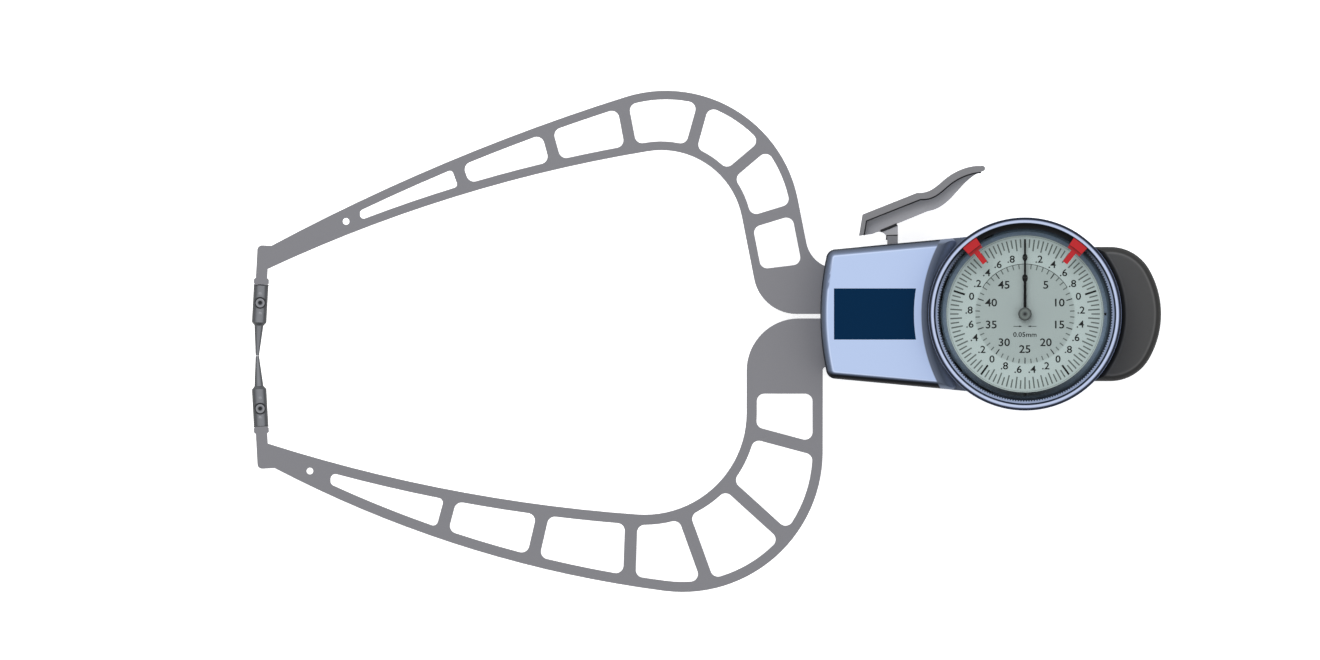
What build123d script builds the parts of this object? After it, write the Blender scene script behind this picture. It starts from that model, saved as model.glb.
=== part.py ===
from build123d import *
import os
from math import asin, atan2, cos, degrees, hypot, pi, radians, sin, sqrt

os.makedirs("parts", exist_ok=True)

# Caliper gauge with a dial. Two openwork arms close on the work. The lower arm is fixed to the
# case. The upper one turns on a shaft in the case, is opened by the lever, and drives the hands
# through a toothed sector and a small gear train.
# The origin is on the dial axis at the flat back of the case. X points to the grip, Y to the
# lever and Z out of the dial. Lengths are in millimetres. The arms lie to the left of the
# origin, so a reach is a distance from the dial axis to the left. Heights that come out of an
# arm are measured outwards, away from the gap between the two arms.

# Clearances shared by many pieces
cut_overrun = 1.0
running_gap = 0.05
end_gap = 0.05
moving_gap = 0.4
seat_gap = 0.1

# Case
case_left = 64.0
case_bulge = 2.4
case_corner_y = 20.05
case_shoulder_share = 0.589
case_corner_round = 3.0
case_wall = 2.6
case_roof = 2.2
roof_gap = 0.7
block_rise = 3.0
bezel_overhang = 0.3
drum_gap = 1.0
block_bury = 2.4
block_back_radius = 43.2
block_slope = 4.8
block_round = 2.4
block_corner_round = 1.6
boss_radius = 3.2
boss_bury = 0.6
arm_slot_depth = 6.1
side_groove_lead = 2.05
side_groove_width = 1.3
drum_ledge = 2.7
bezel_clearance = 0.5

# Rear cover, its seal and the grip at its end
cover_wall = 2.2
cover_floor = 2.0
cover_round = 1.5
cover_post_radius = 3.2
seal_inset = 0.7
seal_width = 0.9
seal_depth = 0.8
grip_half_width = 21.0
grip_length = 12.65
grip_end_radius = 28.0
grip_corner_radius = 14.0
grip_drop = 1.0
grip_round = 2.5

# Label plate let into the face of the case
label_inset = 4.3
label_back_gap = 2.4
label_half_height = 8.0
label_thickness = 0.5

# Plates that carry the movement
plate_lift = 5.0
plate_thickness = 2.0
plate_right_share = 0.6
bridge_thickness = 1.2
bridge_rim = 3.4
pillar_radius = 2.0
pillar_tenon_radius = 1.2
pillar_gap = 5.2
pillar_angles = (103.0, -103.0, 0.0)

# Screws, each with the radius of its head and its shank
case_screw_head = 2.25
case_screw_shank = 1.25
case_screw_head_height = 1.6
case_screw_grip = 6.0
small_screw_head = 1.7
small_screw_shank = 1.0
small_screw_head_height = 1.1
small_screw_grip = 4.0
screw_clearance = 0.15
socket_share = 0.5
socket_depth_share = 0.6
dowel_radius = 1.0

# Where the screws that hold the case together stand
front_boss_inset = 5.9
drum_boss_angle = 57.0
cover_screw_inset = 22.0
cover_post_inset = 7.5
cover_screw_angle = 79.0

# Contacts and the posts of the arms that hold them, measured along the post from the contact
# point
arm_reach = 175.9
contact_drop = 13.1
contact_gap = 0.1
contact_tip_radius = 0.55
tip_round_share = 0.6
finger_radius = 1.42
finger_length = 9.4
contact_radius = 2.3
contact_shoulder = 1.0
contact_length = 22.1
lap_margin = 0.5
tongue_half_width = 1.6
post_lean = 3.1
post_half_width = 1.8
post_round = 1.5
head_half_width = 2.35
head_length = 2.2
head_chamfer = 0.5

# Both arms
fixed_arm_thickness = 5.0
washer_thickness = 0.3
arm_gap = 1.38
arm_hole_radius = 1.04
window_corner = 2.4

# Fixed arm, below the gap
fixed_post_rise = 13.2
fixed_post_inner_rise = 5.4
fixed_heel = 3.5
fixed_outer_taper_radius = 364.4
fixed_outer_bow_x = 43.0
fixed_outer_bow_y = 43.1
fixed_outer_bow_radius = 43.8
fixed_inner_taper_radius = 498.2
fixed_inner_bow_x = 54.9
fixed_inner_bow_y = 30.8
fixed_bow_band = 11.9
fixed_root_lean = 0.0
fixed_crotch_radius = 16.3
fixed_chord = 3.2
fixed_rib = 3.9
fixed_window_from_tip = 22.9
fixed_window_end_outer = 24.9
fixed_window_end_inner = 24.9
fixed_window_tip_round = 1.5
fixed_hole_from_tip = 16.44
fixed_tail_low = 16.6
fixed_tail_reach = 5.5
fixed_tail_round = 1.0
# Screws and dowels of the tail: places right of the pivot and above the gap line, as shares of
# the depth of the tail
fixed_screw_shares = ((-0.24, -0.74), (0.163, -0.74))
fixed_dowel_shares = ((-0.33, -0.52), (-0.04, -0.88))
# Ribs on the taper: place as a share of the way from the contact to the bow centre, and lean
# in degrees. Ribs on the bow: angle round the bow centre and lean, both in degrees.
fixed_taper_rib_shares = ((0.444, -15.0), (0.66, -13.1), (0.877, -2.0))
fixed_bow_rib_angles = ((10.2, 19.9), (50.8, 47.8), (92.8, 75.0))

# Movable arm, above the gap
movable_post_rise = 12.4
movable_post_inner_rise = 5.1
movable_heel = 2.5
movable_outer_taper_radius = 645.0
movable_outer_bow_x = 48.2
movable_outer_bow_y = 27.8
movable_outer_bow_radius = 42.0
movable_inner_taper_radius = 457.1
movable_inner_bow_x = 49.7
movable_inner_bow_y = 25.5
movable_bow_band = 16.3
movable_root_lean = 11.15
movable_crotch_radius = 13.5
movable_chord = 2.75
movable_rib = 3.65
movable_window_from_tip = 32.1
movable_window_end_outer = 15.6
movable_window_end_inner = 14.05
movable_window_tip_round = 1.15
movable_hole_from_tip = 27.74
movable_neck_round = 9.9
movable_taper_rib_shares = ((0.497, -20.0), (0.719, -15.4), (0.904, -10.8))
movable_bow_rib_angles = ((17.4, 15.6), (51.0, 49.8), (84.7, 73.0))
lug_top = 14.2
lug_low = 3.0
lug_end_margin = 1.9
lug_round = 2.0

# Pivot of the movable arm, with its shaft, bush, washers, stop and spring
pivot_inset = 10.5
opening_stroke = 50.0
hub_wall = 2.5
hub_clearance = 0.6
shaft_radius = 3.0
shaft_head_width = 1.5
shaft_head_height = 1.0
shaft_top_margin = 0.5
pivot_bush_wall = 1.45
washer_width = 1.5
clip_width = 1.4
clip_groove = 0.5
clip_thickness = 0.6
clip_opening = 70.0
collet_wall = 1.0
spring_strip = 0.45
spring_strip_height = 1.9
spring_pitch = 1.3
spring_half_turns = 6
spring_pin_radius = 0.8
spring_pin_angle = 8.0
stop_radius = 1.0
stop_drop = 1.0
stop_share = 0.75
stop_gap = 0.3

# Gear train: a sector drives the idler, the idler drives the long hand five times and the
# short hand half as fast as itself
idler_turns = 2
leaf_teeth = 10
idler_wheel_teeth = 50
centre_pinion_teeth = 10
idler_pinion_teeth = 20
short_wheel_teeth = 40
train_module = 0.3
tooth_add_share = 0.8
tooth_root_share = 1.25
tooth_base_share = 0.54
tooth_tip_share = 0.2
sector_thickness = 1.0
sector_spare_teeth = 2
sector_hub_wall = 1.9
sector_rim = 3.0
sector_window_margin = 1.7
sector_spoke = 2.4
sector_end_angle = 0.6
sector_screw_gap = 0.9
sector_screw_spacing = 4.0
sector_screw_angle = 8.0
wheel_thickness = 0.8
level_gap = 0.7
wheel_window_share = 0.34
pinion_spare = 0.3
arbor_radius = 0.6
arbor_pivot_radius = 0.35
centre_arbor_radius = 0.7
tube_wall = 0.45
bush_wall = 0.85
hair_strip = 0.14
hair_strip_height = 0.6
hair_pitch = 0.9
hair_half_turns = 9
hair_gap = 0.25
hair_collet_wall = 0.6
stud_radius = 0.45
bridge_gap = 0.9

# Dial, hands, bezel and glass
bezel_wall = 1.4
bezel_lift = 0.3
neck_wall = 1.6
neck_gap = 0.4
neck_height = 2.2
snap_ring_height = 0.5
snap_ring_depth = 0.35
snap_ring_at = 0.85
snap_ring_opening = 12.0
shelf_gap = 0.3
shelf_thickness = 0.8
dial_edge_gap = 0.3
glass_inset = 0.45
glass_thickness = 1.5
glass_seal_width = 1.5
glass_seal_height = 0.4
groove_depth = 0.6
groove_height = 0.7
groove_gap = 0.05
lip_height = 1.1
lip_gap = 0.15
bezel_edge_round = 0.7
bezel_inner_chamfer = 0.35
dial_radius = 26.5
dial_thickness = 0.5
dial_hole_radius = 1.7
dial_ring_height = 2.4
dial_ring_width = 2.0
dial_ring_land = 0.5
short_hand_lift = 0.35
hand_thickness = 0.2
hand_gap = 0.3
hand_hub_radius = 1.9
hand_tip_gap = 1.4
long_hand_half_width = 0.2
long_hand_tip_half_width = 0.12
short_hand_length = 11.3
short_hand_half_width = 0.36
short_hand_tip_half_width = 0.28
boss_cap_radius = 2.1
boss_cap_height = 0.6
boss_cap_round = 0.2

# Tolerance markers that slide round inside the bezel
marker_angle = 38.0
marker_block_depth = 3.65
marker_ledge = 1.0
marker_half_width = 2.65
marker_tab_length = 4.4
marker_tab_half_width = 0.85
marker_foot_height = 0.6
marker_block_height = 0.9
marker_gap = 0.1

# Lever: a wide pad on a narrower web, with a stem that goes down into the case
lever_inset = 12.1
lever_lift = 3.44
lever_length = 39.1
lever_rise = 21.9
lever_web = 4.0
lever_pad_width = 10.0
lever_rim_x = 1.1
lever_rim_y = 1.9
stem_inset = 22.6
stem_width = 3.35
stem_fillet = 2.5
foot_depth = 7.0
foot_left = 4.6
foot_right = 3.6
foot_thickness = 1.5
# Shares of the lever's length and rise, along the top from the rear foot to the tip
lever_top_shares = ((0.465, 0.616), (0.598, 0.68), (0.698, 0.826), (0.857, 0.973), (0.977, 1.0))
# Shares of the same along the underside, from the tip back to the rear foot
lever_low_shares = ((0.995, 0.925), (0.857, 0.772), (0.714, 0.502), (0.55, 0.352), (0.107, 0.027))
lever_heel_shares = (0.028, 0.306)

# Heights worked out from the stack of pieces
plate_height = cover_floor + plate_lift
plate_top = plate_height + plate_thickness
arm_middle = plate_top + fixed_arm_thickness / 2
fixed_arm_top = plate_top + fixed_arm_thickness
movable_arm_bottom = plate_top + washer_thickness + end_gap
movable_arm_top = fixed_arm_top - washer_thickness - end_gap
movable_arm_thickness = movable_arm_top - movable_arm_bottom
case_split = plate_top - moving_gap
sector_top = movable_arm_top + sector_thickness
washer_seat = sector_top + end_gap
clip_seat = washer_seat + washer_thickness
collet_seat = clip_seat + clip_thickness + seat_gap
shaft_top = collet_seat + spring_strip_height + shaft_top_margin
cavity_height = shaft_top + roof_gap
shoulder_height = cavity_height + case_roof
case_height = shoulder_height + block_rise
grip_height = shoulder_height - grip_drop
idler_wheel_height = sector_top + level_gap
short_wheel_height = idler_wheel_height + wheel_thickness + level_gap
hair_height = short_wheel_height + wheel_thickness + hair_gap
bridge_height = hair_height + hair_strip_height + bridge_gap
bridge_top = bridge_height + bridge_thickness
drum_height = bridge_top + small_screw_head_height + drum_gap
bezel_bottom = drum_height + bezel_lift
neck_top = drum_height + neck_height
shelf_bottom = neck_top + shelf_gap
glass_bottom = shelf_bottom + shelf_thickness
glass_top = glass_bottom + glass_thickness
seal_top = glass_top + glass_seal_height
groove_top = seal_top + groove_height
bezel_top = groove_top + lip_height
dial_top = glass_bottom - dial_ring_height
dial_bottom = dial_top - dial_thickness
short_hand_height = dial_top + short_hand_lift
long_hand_height = short_hand_height + hand_thickness + hand_gap
boss_cap_top = long_hand_height + hand_thickness + boss_cap_height
marker_bottom = seal_top + groove_gap

# Radii and reaches worked out from the sizes above
tube_radius = centre_arbor_radius + running_gap + tube_wall
shelf_radius = dial_radius + dial_edge_gap
neck_bore = shelf_radius + neck_gap
neck_radius = neck_bore + neck_wall
glass_radius = neck_radius - glass_inset
bezel_radius = neck_radius + bezel_wall
drum_radius = bezel_radius - bezel_overhang
drum_opening_radius = neck_bore - drum_ledge
dial_ring_inner = dial_radius - dial_ring_width
dial_ring_top = shelf_radius - dial_ring_land
long_hand_length = dial_ring_inner - hand_tip_gap
marker_inner = glass_radius - marker_block_depth
marker_step = marker_inner + marker_ledge
marker_tip = marker_inner - marker_tab_length
case_corner_x = case_left - case_bulge
case_shoulder_x = case_shoulder_share * drum_radius
block_back_x = block_back_radius - drum_radius + block_bury
grip_reach = drum_radius + grip_length
grip_screw_x = drum_radius + grip_length / 3
contact_reach = case_left + arm_reach
lap_start = finger_length + contact_shoulder + lap_margin
contact_screw_at = (lap_start + contact_length) / 2
fixed_inner_bow_radius = fixed_outer_bow_radius - fixed_bow_band
movable_inner_bow_radius = movable_outer_bow_radius - movable_bow_band
fixed_post_length = contact_length + fixed_post_rise
fixed_post_inner = contact_length + fixed_post_inner_rise
movable_post_length = contact_length + movable_post_rise
movable_post_inner = contact_length + movable_post_inner_rise
bush_radius = shaft_radius + running_gap + pivot_bush_wall
hub_radius = bush_radius + hub_wall
sector_hub_radius = bush_radius + sector_hub_wall
washer_radius = shaft_radius + clip_width + washer_width
clip_radius = shaft_radius + clip_width

# Plan positions and angles worked out from the sizes above
pivot_reach = case_left - pivot_inset
pivot = Vector(-pivot_reach, -arm_gap / 2)
pivot_distance = pivot.length
line_angle = degrees(atan2(-pivot.Y, -pivot.X))
swing_radius = hypot(contact_reach - pivot_reach, contact_drop - arm_gap / 2)
nominal_swing = 2 * degrees(asin(opening_stroke / 2 / swing_radius))
sector_teeth = round(360 * idler_turns / nominal_swing * leaf_teeth)
swing = 360 * idler_turns * leaf_teeth / sector_teeth
train_distance = (idler_wheel_teeth + centre_pinion_teeth) * train_module / 2
idler = pivot.normalized() * train_distance
sector_module = 2 * (pivot_distance - train_distance) / (sector_teeth + leaf_teeth)
sector_radius = sector_teeth * sector_module / 2


def polar(centre, radius, angle):
    """Point at a radius and an angle in degrees from a centre."""
    return centre + Vector(radius * cos(radians(angle)), radius * sin(radians(angle)))


def tail_point(x_share, y_share):
    """Place of a screw or dowel in the tail of the fixed arm."""
    return Vector(pivot.X + x_share * fixed_tail_low, y_share * fixed_tail_low)


def swung(point, angle):
    """Point after the movable arm has opened by an angle in degrees."""
    offset_point = point - pivot
    return pivot + offset_point.rotate(Axis.Z, -angle)


def case_side_y(x, inset=0):
    """Height of the upper side of the case over x, with the case drawn in by an inset."""
    shoulder_y = sqrt((drum_radius - inset) ** 2 - case_shoulder_x**2)
    corner_y = case_corner_y - inset
    slope = (shoulder_y - corner_y) / (case_corner_x - inset - case_shoulder_x)
    return shoulder_y + (x + case_shoulder_x) * slope


dial_axis = Vector(0, 0)
front_boss_x = -drum_radius + front_boss_inset
front_boss_y = case_side_y(front_boss_x, case_wall) - boss_radius + boss_bury
front_boss_points = [Vector(front_boss_x, side * front_boss_y) for side in (1, -1)]
drum_boss_circle = drum_radius - case_wall - boss_radius + boss_bury
drum_boss_points = [polar(dial_axis, drum_boss_circle, side * drum_boss_angle) for side in (1, -1)]
boss_points = front_boss_points + drum_boss_points
cover_screw_x = -case_left + cover_screw_inset
cover_screw_y = case_side_y(cover_screw_x) - cover_post_inset
cover_screw_points = [Vector(cover_screw_x, side * cover_screw_y) for side in (1, -1)]
cover_circle = drum_radius - cover_post_inset
cover_screw_points += [polar(dial_axis, cover_circle, side * cover_screw_angle) for side in (1, -1)]
pillar_circle = short_wheel_teeth * train_module / 2 + pillar_radius + pillar_gap
pillar_points = [polar(dial_axis, pillar_circle, angle) for angle in pillar_angles]
spring_first_radius = shaft_radius + collet_wall + spring_strip / 2
spring_end_radius = spring_first_radius + spring_half_turns * spring_pitch / 2
spring_pin_reach = spring_end_radius + spring_strip / 2 + spring_pin_radius + running_gap
spring_direction = polar(Vector(0, 0), 1, spring_pin_angle)
spring_plane = Plane(origin=(pivot.X, pivot.Y, collet_seat), x_dir=spring_direction, z_dir=(0, 0, -1))
hair_first_radius = tube_radius + hair_collet_wall + running_gap + hair_strip / 2
hair_end_radius = hair_first_radius + hair_half_turns * hair_pitch / 2
hair_stud = Vector(hair_end_radius + hair_strip / 2 + stud_radius, 0)
lever_x = case_left - lever_inset
lever_y = case_side_y(-lever_x) + lever_lift
stem_x = -case_left + stem_inset
stem_right = stem_x + stem_width / 2
under_far = Vector(lever_low_shares[-2])
under_near = Vector(lever_low_shares[-1])
under_slope = (under_far.Y - under_near.Y) / (under_far.X - under_near.X)
under_share = under_near.Y + ((stem_right + lever_x) / lever_length - under_near.X) * under_slope
stem_top_right = Vector(stem_right, lever_y + under_share * lever_rise)
sector_screw_near = spring_pin_reach + spring_pin_radius + sector_screw_gap + small_screw_head
sector_screw_far = sector_screw_near + sector_screw_spacing
lug_reach = sector_screw_far + lug_end_margin
sector_window_start = sector_screw_far + small_screw_head + sector_window_margin
sector_screw_reaches = (sector_screw_near, sector_screw_far)
sector_screw_points = [polar(pivot, reach, sector_screw_angle) for reach in sector_screw_reaches]
lever_screw_y = lug_top - foot_depth / 2
lever_screw_points = [Vector(stem_x + aside / 2, lever_screw_y) for aside in (-foot_left, foot_right)]


class ArmEdge:
    """One long edge of an arm: a taper arc, a bow arc and a straight root, each tangent to the next."""

    def __init__(self, start, taper_radius, bow_centre, bow_radius, root_lean):
        """Find the centre of the taper arc that leaves start and meets the bow on a tangent."""
        self.start = start
        self.taper_radius = taper_radius
        self.bow_centre = bow_centre
        self.bow_radius = bow_radius
        self.aside = Vector(1, 0).rotate(Axis.Z, root_lean)
        self.down = Vector(0, -1).rotate(Axis.Z, root_lean)
        span = bow_centre - start
        rest = taper_radius - bow_radius
        along = (taper_radius**2 - rest**2 + span.length**2) / (2 * span.length)
        across = sqrt(taper_radius**2 - along**2)
        direction = span.normalized()
        self.taper_centre = start + direction * along + direction.rotate(Axis.Z, -90) * across

    def height(self, x, grow=0):
        """Height of the taper arc over x, with its radius grown."""
        return self.taper_centre.Y + sqrt((self.taper_radius + grow) ** 2 - (x - self.taper_centre.X) ** 2)

    def points(self, start_x, end_y, grow=0):
        """Ends and middles of the arcs and the end of the root, with both radii grown."""
        begin = Vector(start_x, self.height(start_x, grow))
        to_meet = (self.bow_centre - self.taper_centre).normalized()
        meet = self.bow_centre + to_meet * (self.bow_radius + grow)
        root = self.bow_centre + self.aside * (self.bow_radius + grow)
        taper_middle_x = (begin.X + meet.X) / 2
        taper_middle = Vector(taper_middle_x, self.height(taper_middle_x, grow))
        bow_middle = self.bow_centre + (to_meet + self.aside).normalized() * (self.bow_radius + grow)
        end = root + self.down * ((end_y - root.Y) / self.down.Y)
        return [begin, taper_middle, meet, bow_middle, root, end]


def sided(side, point):
    """Point of an arm, with its height turned to the arm's side of the gap."""
    return (point.X, side * point.Y)


def draw_edge(side, points):
    """Draw an arm's edge in the line that is open."""
    begin, taper_middle, meet, bow_middle, root, end = [sided(side, point) for point in points]
    ThreePointArc(begin, taper_middle, meet)
    ThreePointArc(meet, bow_middle, root)
    Line(root, end)


def post_point(side, along, aside):
    """Outward point of a post, from the distance along it and to its right."""
    drop = contact_drop if side < 0 else contact_gap - contact_drop
    lean = Vector(sin(radians(post_lean)), cos(radians(post_lean)))
    right = Vector(cos(radians(post_lean)), -sin(radians(post_lean)))
    return Vector(-contact_reach, drop) + lean * along + right * aside


def post_plane(side, height):
    """Plane at a height, with its origin at the contact point and X along the post."""
    tip = post_point(side, 0, 0)
    along = post_point(side, 1, 0) - tip
    return Plane(origin=(tip.X, side * tip.Y, height), x_dir=(along.X, side * along.Y, 0), z_dir=(0, 0, 1))


def arm_outline(side, outer, inner, gap, crotch_radius, post_end, tail):
    """Outline of an arm without its windows. The tail is its end inside the case."""
    outer_points = outer.points(outer.start.X, tail[0].Y)
    crotch_y = gap + crotch_radius
    along_root = crotch_radius - (crotch_y - inner.bow_centre.Y) * inner.aside.Y + inner.bow_radius
    crotch = Vector(inner.bow_centre.X + along_root / inner.aside.X, crotch_y)
    crotch_start = crotch - inner.aside * crotch_radius
    crotch_middle = crotch - (inner.aside + Vector(0, 1)).normalized() * crotch_radius
    crotch_end = Vector(crotch.X, gap)
    inner_points = inner.points(inner.start.X, crotch_start.Y)
    tail_path = [outer_points[-1], *tail, crotch_end]
    post_path = [inner_points[0], post_end, outer_points[0]]
    with BuildSketch() as outline:
        with BuildLine():
            draw_edge(side, outer_points)
            Polyline(*[sided(side, point) for point in tail_path])
            ThreePointArc(sided(side, crotch_end), sided(side, crotch_middle), sided(side, crotch_start))
            draw_edge(side, inner_points[:-1] + [crotch_start])
            Polyline(*[sided(side, point) for point in post_path])
        make_face()
    return outline.sketch


def arm_windows(side, outer, inner, chord, rib, start_x, ends, taper_ribs, bow_ribs, tip_round):
    """Windows of an arm: the space between its two chords, divided by ribs, with round corners."""
    outer_points = outer.points(start_x, ends[0], -chord)
    inner_points = inner.points(start_x, ends[1], chord)
    bars = []
    for share, lean in taper_ribs:
        x = -contact_reach + share * (contact_reach + outer.bow_centre.X)
        bars.append((Vector(x, (outer.height(x) + inner.height(x)) / 2), lean))
    band_radius = outer.bow_radius - (outer.bow_radius - inner.bow_radius) / 2
    for angle, lean in bow_ribs:
        bars.append((polar(outer.bow_centre, band_radius, 90 - angle), lean))
    with BuildSketch() as band:
        with BuildLine():
            draw_edge(side, outer_points)
            draw_edge(side, inner_points)
            Line(sided(side, outer_points[0]), sided(side, inner_points[0]))
            Line(sided(side, outer_points[-1]), sided(side, inner_points[-1]))
        make_face()
        for point, lean in bars:
            with Locations(Location((point.X, side * point.Y), -side * lean)):
                Rectangle(rib, outer.bow_radius, mode=Mode.SUBTRACT)
    panes = band.faces().sort_by(Axis.X)
    with BuildSketch() as rounded:
        for index, pane in enumerate(panes):
            radius = tip_round if index == 0 else window_corner
            core = offset(pane, amount=-radius, kind=Kind.INTERSECTION, mode=Mode.PRIVATE)
            offset(core, amount=radius, kind=Kind.ARC, mode=Mode.ADD)
    return rounded.sketch


def case_profile(inset):
    """Outline of the case, drawn in by an inset: a tapered block that runs into a round drum."""
    drum = drum_radius - inset
    corner_x = -case_corner_x + inset
    corner_y = case_corner_y - inset
    shoulder_y = sqrt(drum**2 - case_shoulder_x**2)
    with BuildSketch() as profile:
        with BuildLine():
            ThreePointArc((corner_x, -corner_y), (-case_left + inset, 0), (corner_x, corner_y))
            Polyline(
                (corner_x, corner_y),
                (-case_shoulder_x, shoulder_y),
                (-case_shoulder_x, -shoulder_y),
                (corner_x, -corner_y),
            )
        make_face()
        fillet(profile.vertices().group_by(Axis.X)[0], max(case_corner_round - inset, seat_gap))
        Circle(drum)
    return profile.sketch


def block_profile():
    """Outline of the raised block of the case, hollowed on the side of the dial."""
    slope = (sqrt(drum_radius**2 - case_shoulder_x**2) - case_corner_y) / (case_corner_x - case_shoulder_x)
    with BuildSketch() as profile:
        add(case_profile(0))
        with Locations((block_back_x, 0)):
            Circle(block_back_radius, mode=Mode.SUBTRACT)
        with Locations((drum_radius, 0)):
            Rectangle(2 * drum_radius, 2 * grip_reach, mode=Mode.SUBTRACT)
        with Locations((-case_shoulder_x / 2, 0)):
            Rectangle(case_shoulder_x, 2 * grip_reach, mode=Mode.SUBTRACT)
        fillet(profile.vertices().group_by(Axis.X)[-1], block_corner_round * (1 - slope))
    return profile.sketch


def grip_profile(inset):
    """Outline of the grip, drawn in by an inset, with its left end inside the drum."""
    end_radius = grip_end_radius - inset
    corner = grip_corner_radius - inset
    half_width = grip_half_width - inset
    end_centre = Vector(grip_reach - grip_end_radius, 0)
    corner_y = half_width - corner
    corner_centre = Vector(end_centre.X + sqrt((end_radius - corner) ** 2 - corner_y**2), corner_y)
    to_end = (corner_centre - end_centre).normalized()
    corner_end = corner_centre + to_end * corner
    corner_middle = corner_centre + (to_end + Vector(0, 1)).normalized() * corner
    with BuildSketch() as profile:
        with BuildLine():
            Line((0, half_width), (corner_centre.X, half_width))
            ThreePointArc((corner_centre.X, half_width), sided(1, corner_middle), sided(1, corner_end))
            ThreePointArc(sided(1, corner_end), (grip_reach - inset, 0), sided(-1, corner_end))
            ThreePointArc(sided(-1, corner_end), sided(-1, corner_middle), (corner_centre.X, -half_width))
            Polyline((corner_centre.X, -half_width), (0, -half_width), (0, half_width))
        make_face()
    return profile.sketch


def tooth_points(teeth, module, angle):
    """Corners of one gear tooth at an angle in degrees, in the order of growing angle."""
    root = teeth * module / 2 - tooth_root_share * module
    tip = teeth * module / 2 + tooth_add_share * module
    base_half = degrees(tooth_base_share * pi * module / 2 / root)
    tip_half = degrees(tooth_tip_share * pi * module / 2 / tip)
    centre = Vector(0, 0)
    return [
        polar(centre, root, angle - base_half),
        polar(centre, tip, angle - tip_half),
        polar(centre, tip, angle + tip_half),
        polar(centre, root, angle + base_half),
    ]


def gear_profile(teeth, module, tooth_angle):
    """Outline of a gear with one tooth centred on an angle in degrees."""
    corners = []
    for tooth in range(teeth):
        corners += tooth_points(teeth, module, tooth_angle + tooth * 360 / teeth)
    with BuildSketch() as profile:
        with BuildLine():
            Polyline(*corners, close=True)
        make_face()
    return profile.sketch


def spiral_profile(first_radius, pitch, half_turns, strip):
    """Flat spiral of half circles whose centres stand in turn on either side of the axis."""
    rims = {1: [], -1: []}
    for turn in range(half_turns):
        sign = 1 if turn % 2 == 0 else -1
        centre_x = 0 if sign > 0 else pitch / 2
        radius = first_radius + turn * pitch / 2
        for rim in rims:
            reach = radius + rim * strip / 2
            rims[rim].append(
                ((centre_x + sign * reach, 0), (centre_x, sign * reach), (centre_x - sign * reach, 0))
            )
    with BuildSketch() as profile:
        with BuildLine():
            for rim in rims.values():
                for begin, middle, end in rim:
                    ThreePointArc(begin, middle, end)
            Line(rims[1][0][0], rims[-1][0][0])
            Line(rims[1][-1][2], rims[-1][-1][2])
        make_face()
    return profile.sketch


def ring_piece(inner, outer, half_angle, angle):
    """Piece of a flat ring about the dial axis, centred on an angle in degrees."""
    centre = Vector(0, 0)
    low, high = angle - half_angle, angle + half_angle
    with BuildSketch() as piece:
        with BuildLine():
            ThreePointArc(polar(centre, outer, low), polar(centre, outer, angle), polar(centre, outer, high))
            Line(polar(centre, outer, high), polar(centre, inner, high))
            ThreePointArc(polar(centre, inner, high), polar(centre, inner, angle), polar(centre, inner, low))
            Line(polar(centre, inner, low), polar(centre, outer, low))
        make_face()
    return piece.sketch


def lever_profile():
    """Side view of the lever, rising from its rear foot to the finger end."""
    origin = Vector(-lever_x, lever_y)
    top = [origin + Vector(x * lever_length, y * lever_rise) for x, y in lever_top_shares]
    low = [origin + Vector(x * lever_length, y * lever_rise) for x, y in lever_low_shares]
    heel = origin + Vector(lever_heel_shares[0] * lever_length, lever_heel_shares[1] * lever_rise)
    tip = low[0] - top[-1]
    tip_middle = (top[-1] + low[0] + Vector(-tip.Y, tip.X)) / 2
    with BuildSketch() as profile:
        with BuildLine():
            Polyline(origin, heel, top[0])
            Spline(*top)
            ThreePointArc(top[-1], tip_middle, low[0])
            Spline(*low[:-1])
            Polyline(low[-2], low[-1], origin)
        make_face()
    return profile.sketch


def hand_profile(length, half_width, tip_half_width, bore):
    """Plan view of a hand that points to the top of the dial."""
    with BuildSketch() as profile:
        Circle(hand_hub_radius)
        with BuildLine():
            Polyline(
                (-half_width, 0),
                (half_width, 0),
                (tip_half_width, length),
                (-tip_half_width, length),
                close=True,
            )
        make_face()
        Circle(bore, mode=Mode.SUBTRACT)
    return profile.sketch


def add_screws(points, seat, side, head, head_height, shank, grip):
    """Add screws with a hexagon socket to the part that is open.

    The heads stand on the seat, above it where side is 1 and below it where side is -1.
    """
    head_align = Align.MIN if side > 0 else Align.MAX
    shank_align = Align.MAX if side > 0 else Align.MIN
    with Locations(*[(point.X, point.Y, seat) for point in points]):
        Cylinder(head, head_height, align=(Align.CENTER, Align.CENTER, head_align))
        Cylinder(shank, grip, align=(Align.CENTER, Align.CENTER, shank_align))
    with BuildSketch(Plane.XY.offset(seat + side * head_height)) as sockets:
        with Locations(*[(point.X, point.Y) for point in points]):
            RegularPolygon(head * socket_share, 6)
    extrude(sockets.sketch, amount=-side * head_height * socket_depth_share, mode=Mode.SUBTRACT)


def add_pins(points, bottom, top, radius):
    """Add upright pins to the part that is open."""
    with Locations(*[(point.X, point.Y, bottom) for point in points]):
        Cylinder(radius, top - bottom, align=(Align.CENTER, Align.CENTER, Align.MIN))


def cut_pins(points, bottom, top, radius):
    """Cut upright round holes in the part that is open."""
    with Locations(*[(point.X, point.Y, bottom) for point in points]):
        Cylinder(radius, top - bottom, align=(Align.CENTER, Align.CENTER, Align.MIN), mode=Mode.SUBTRACT)


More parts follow.
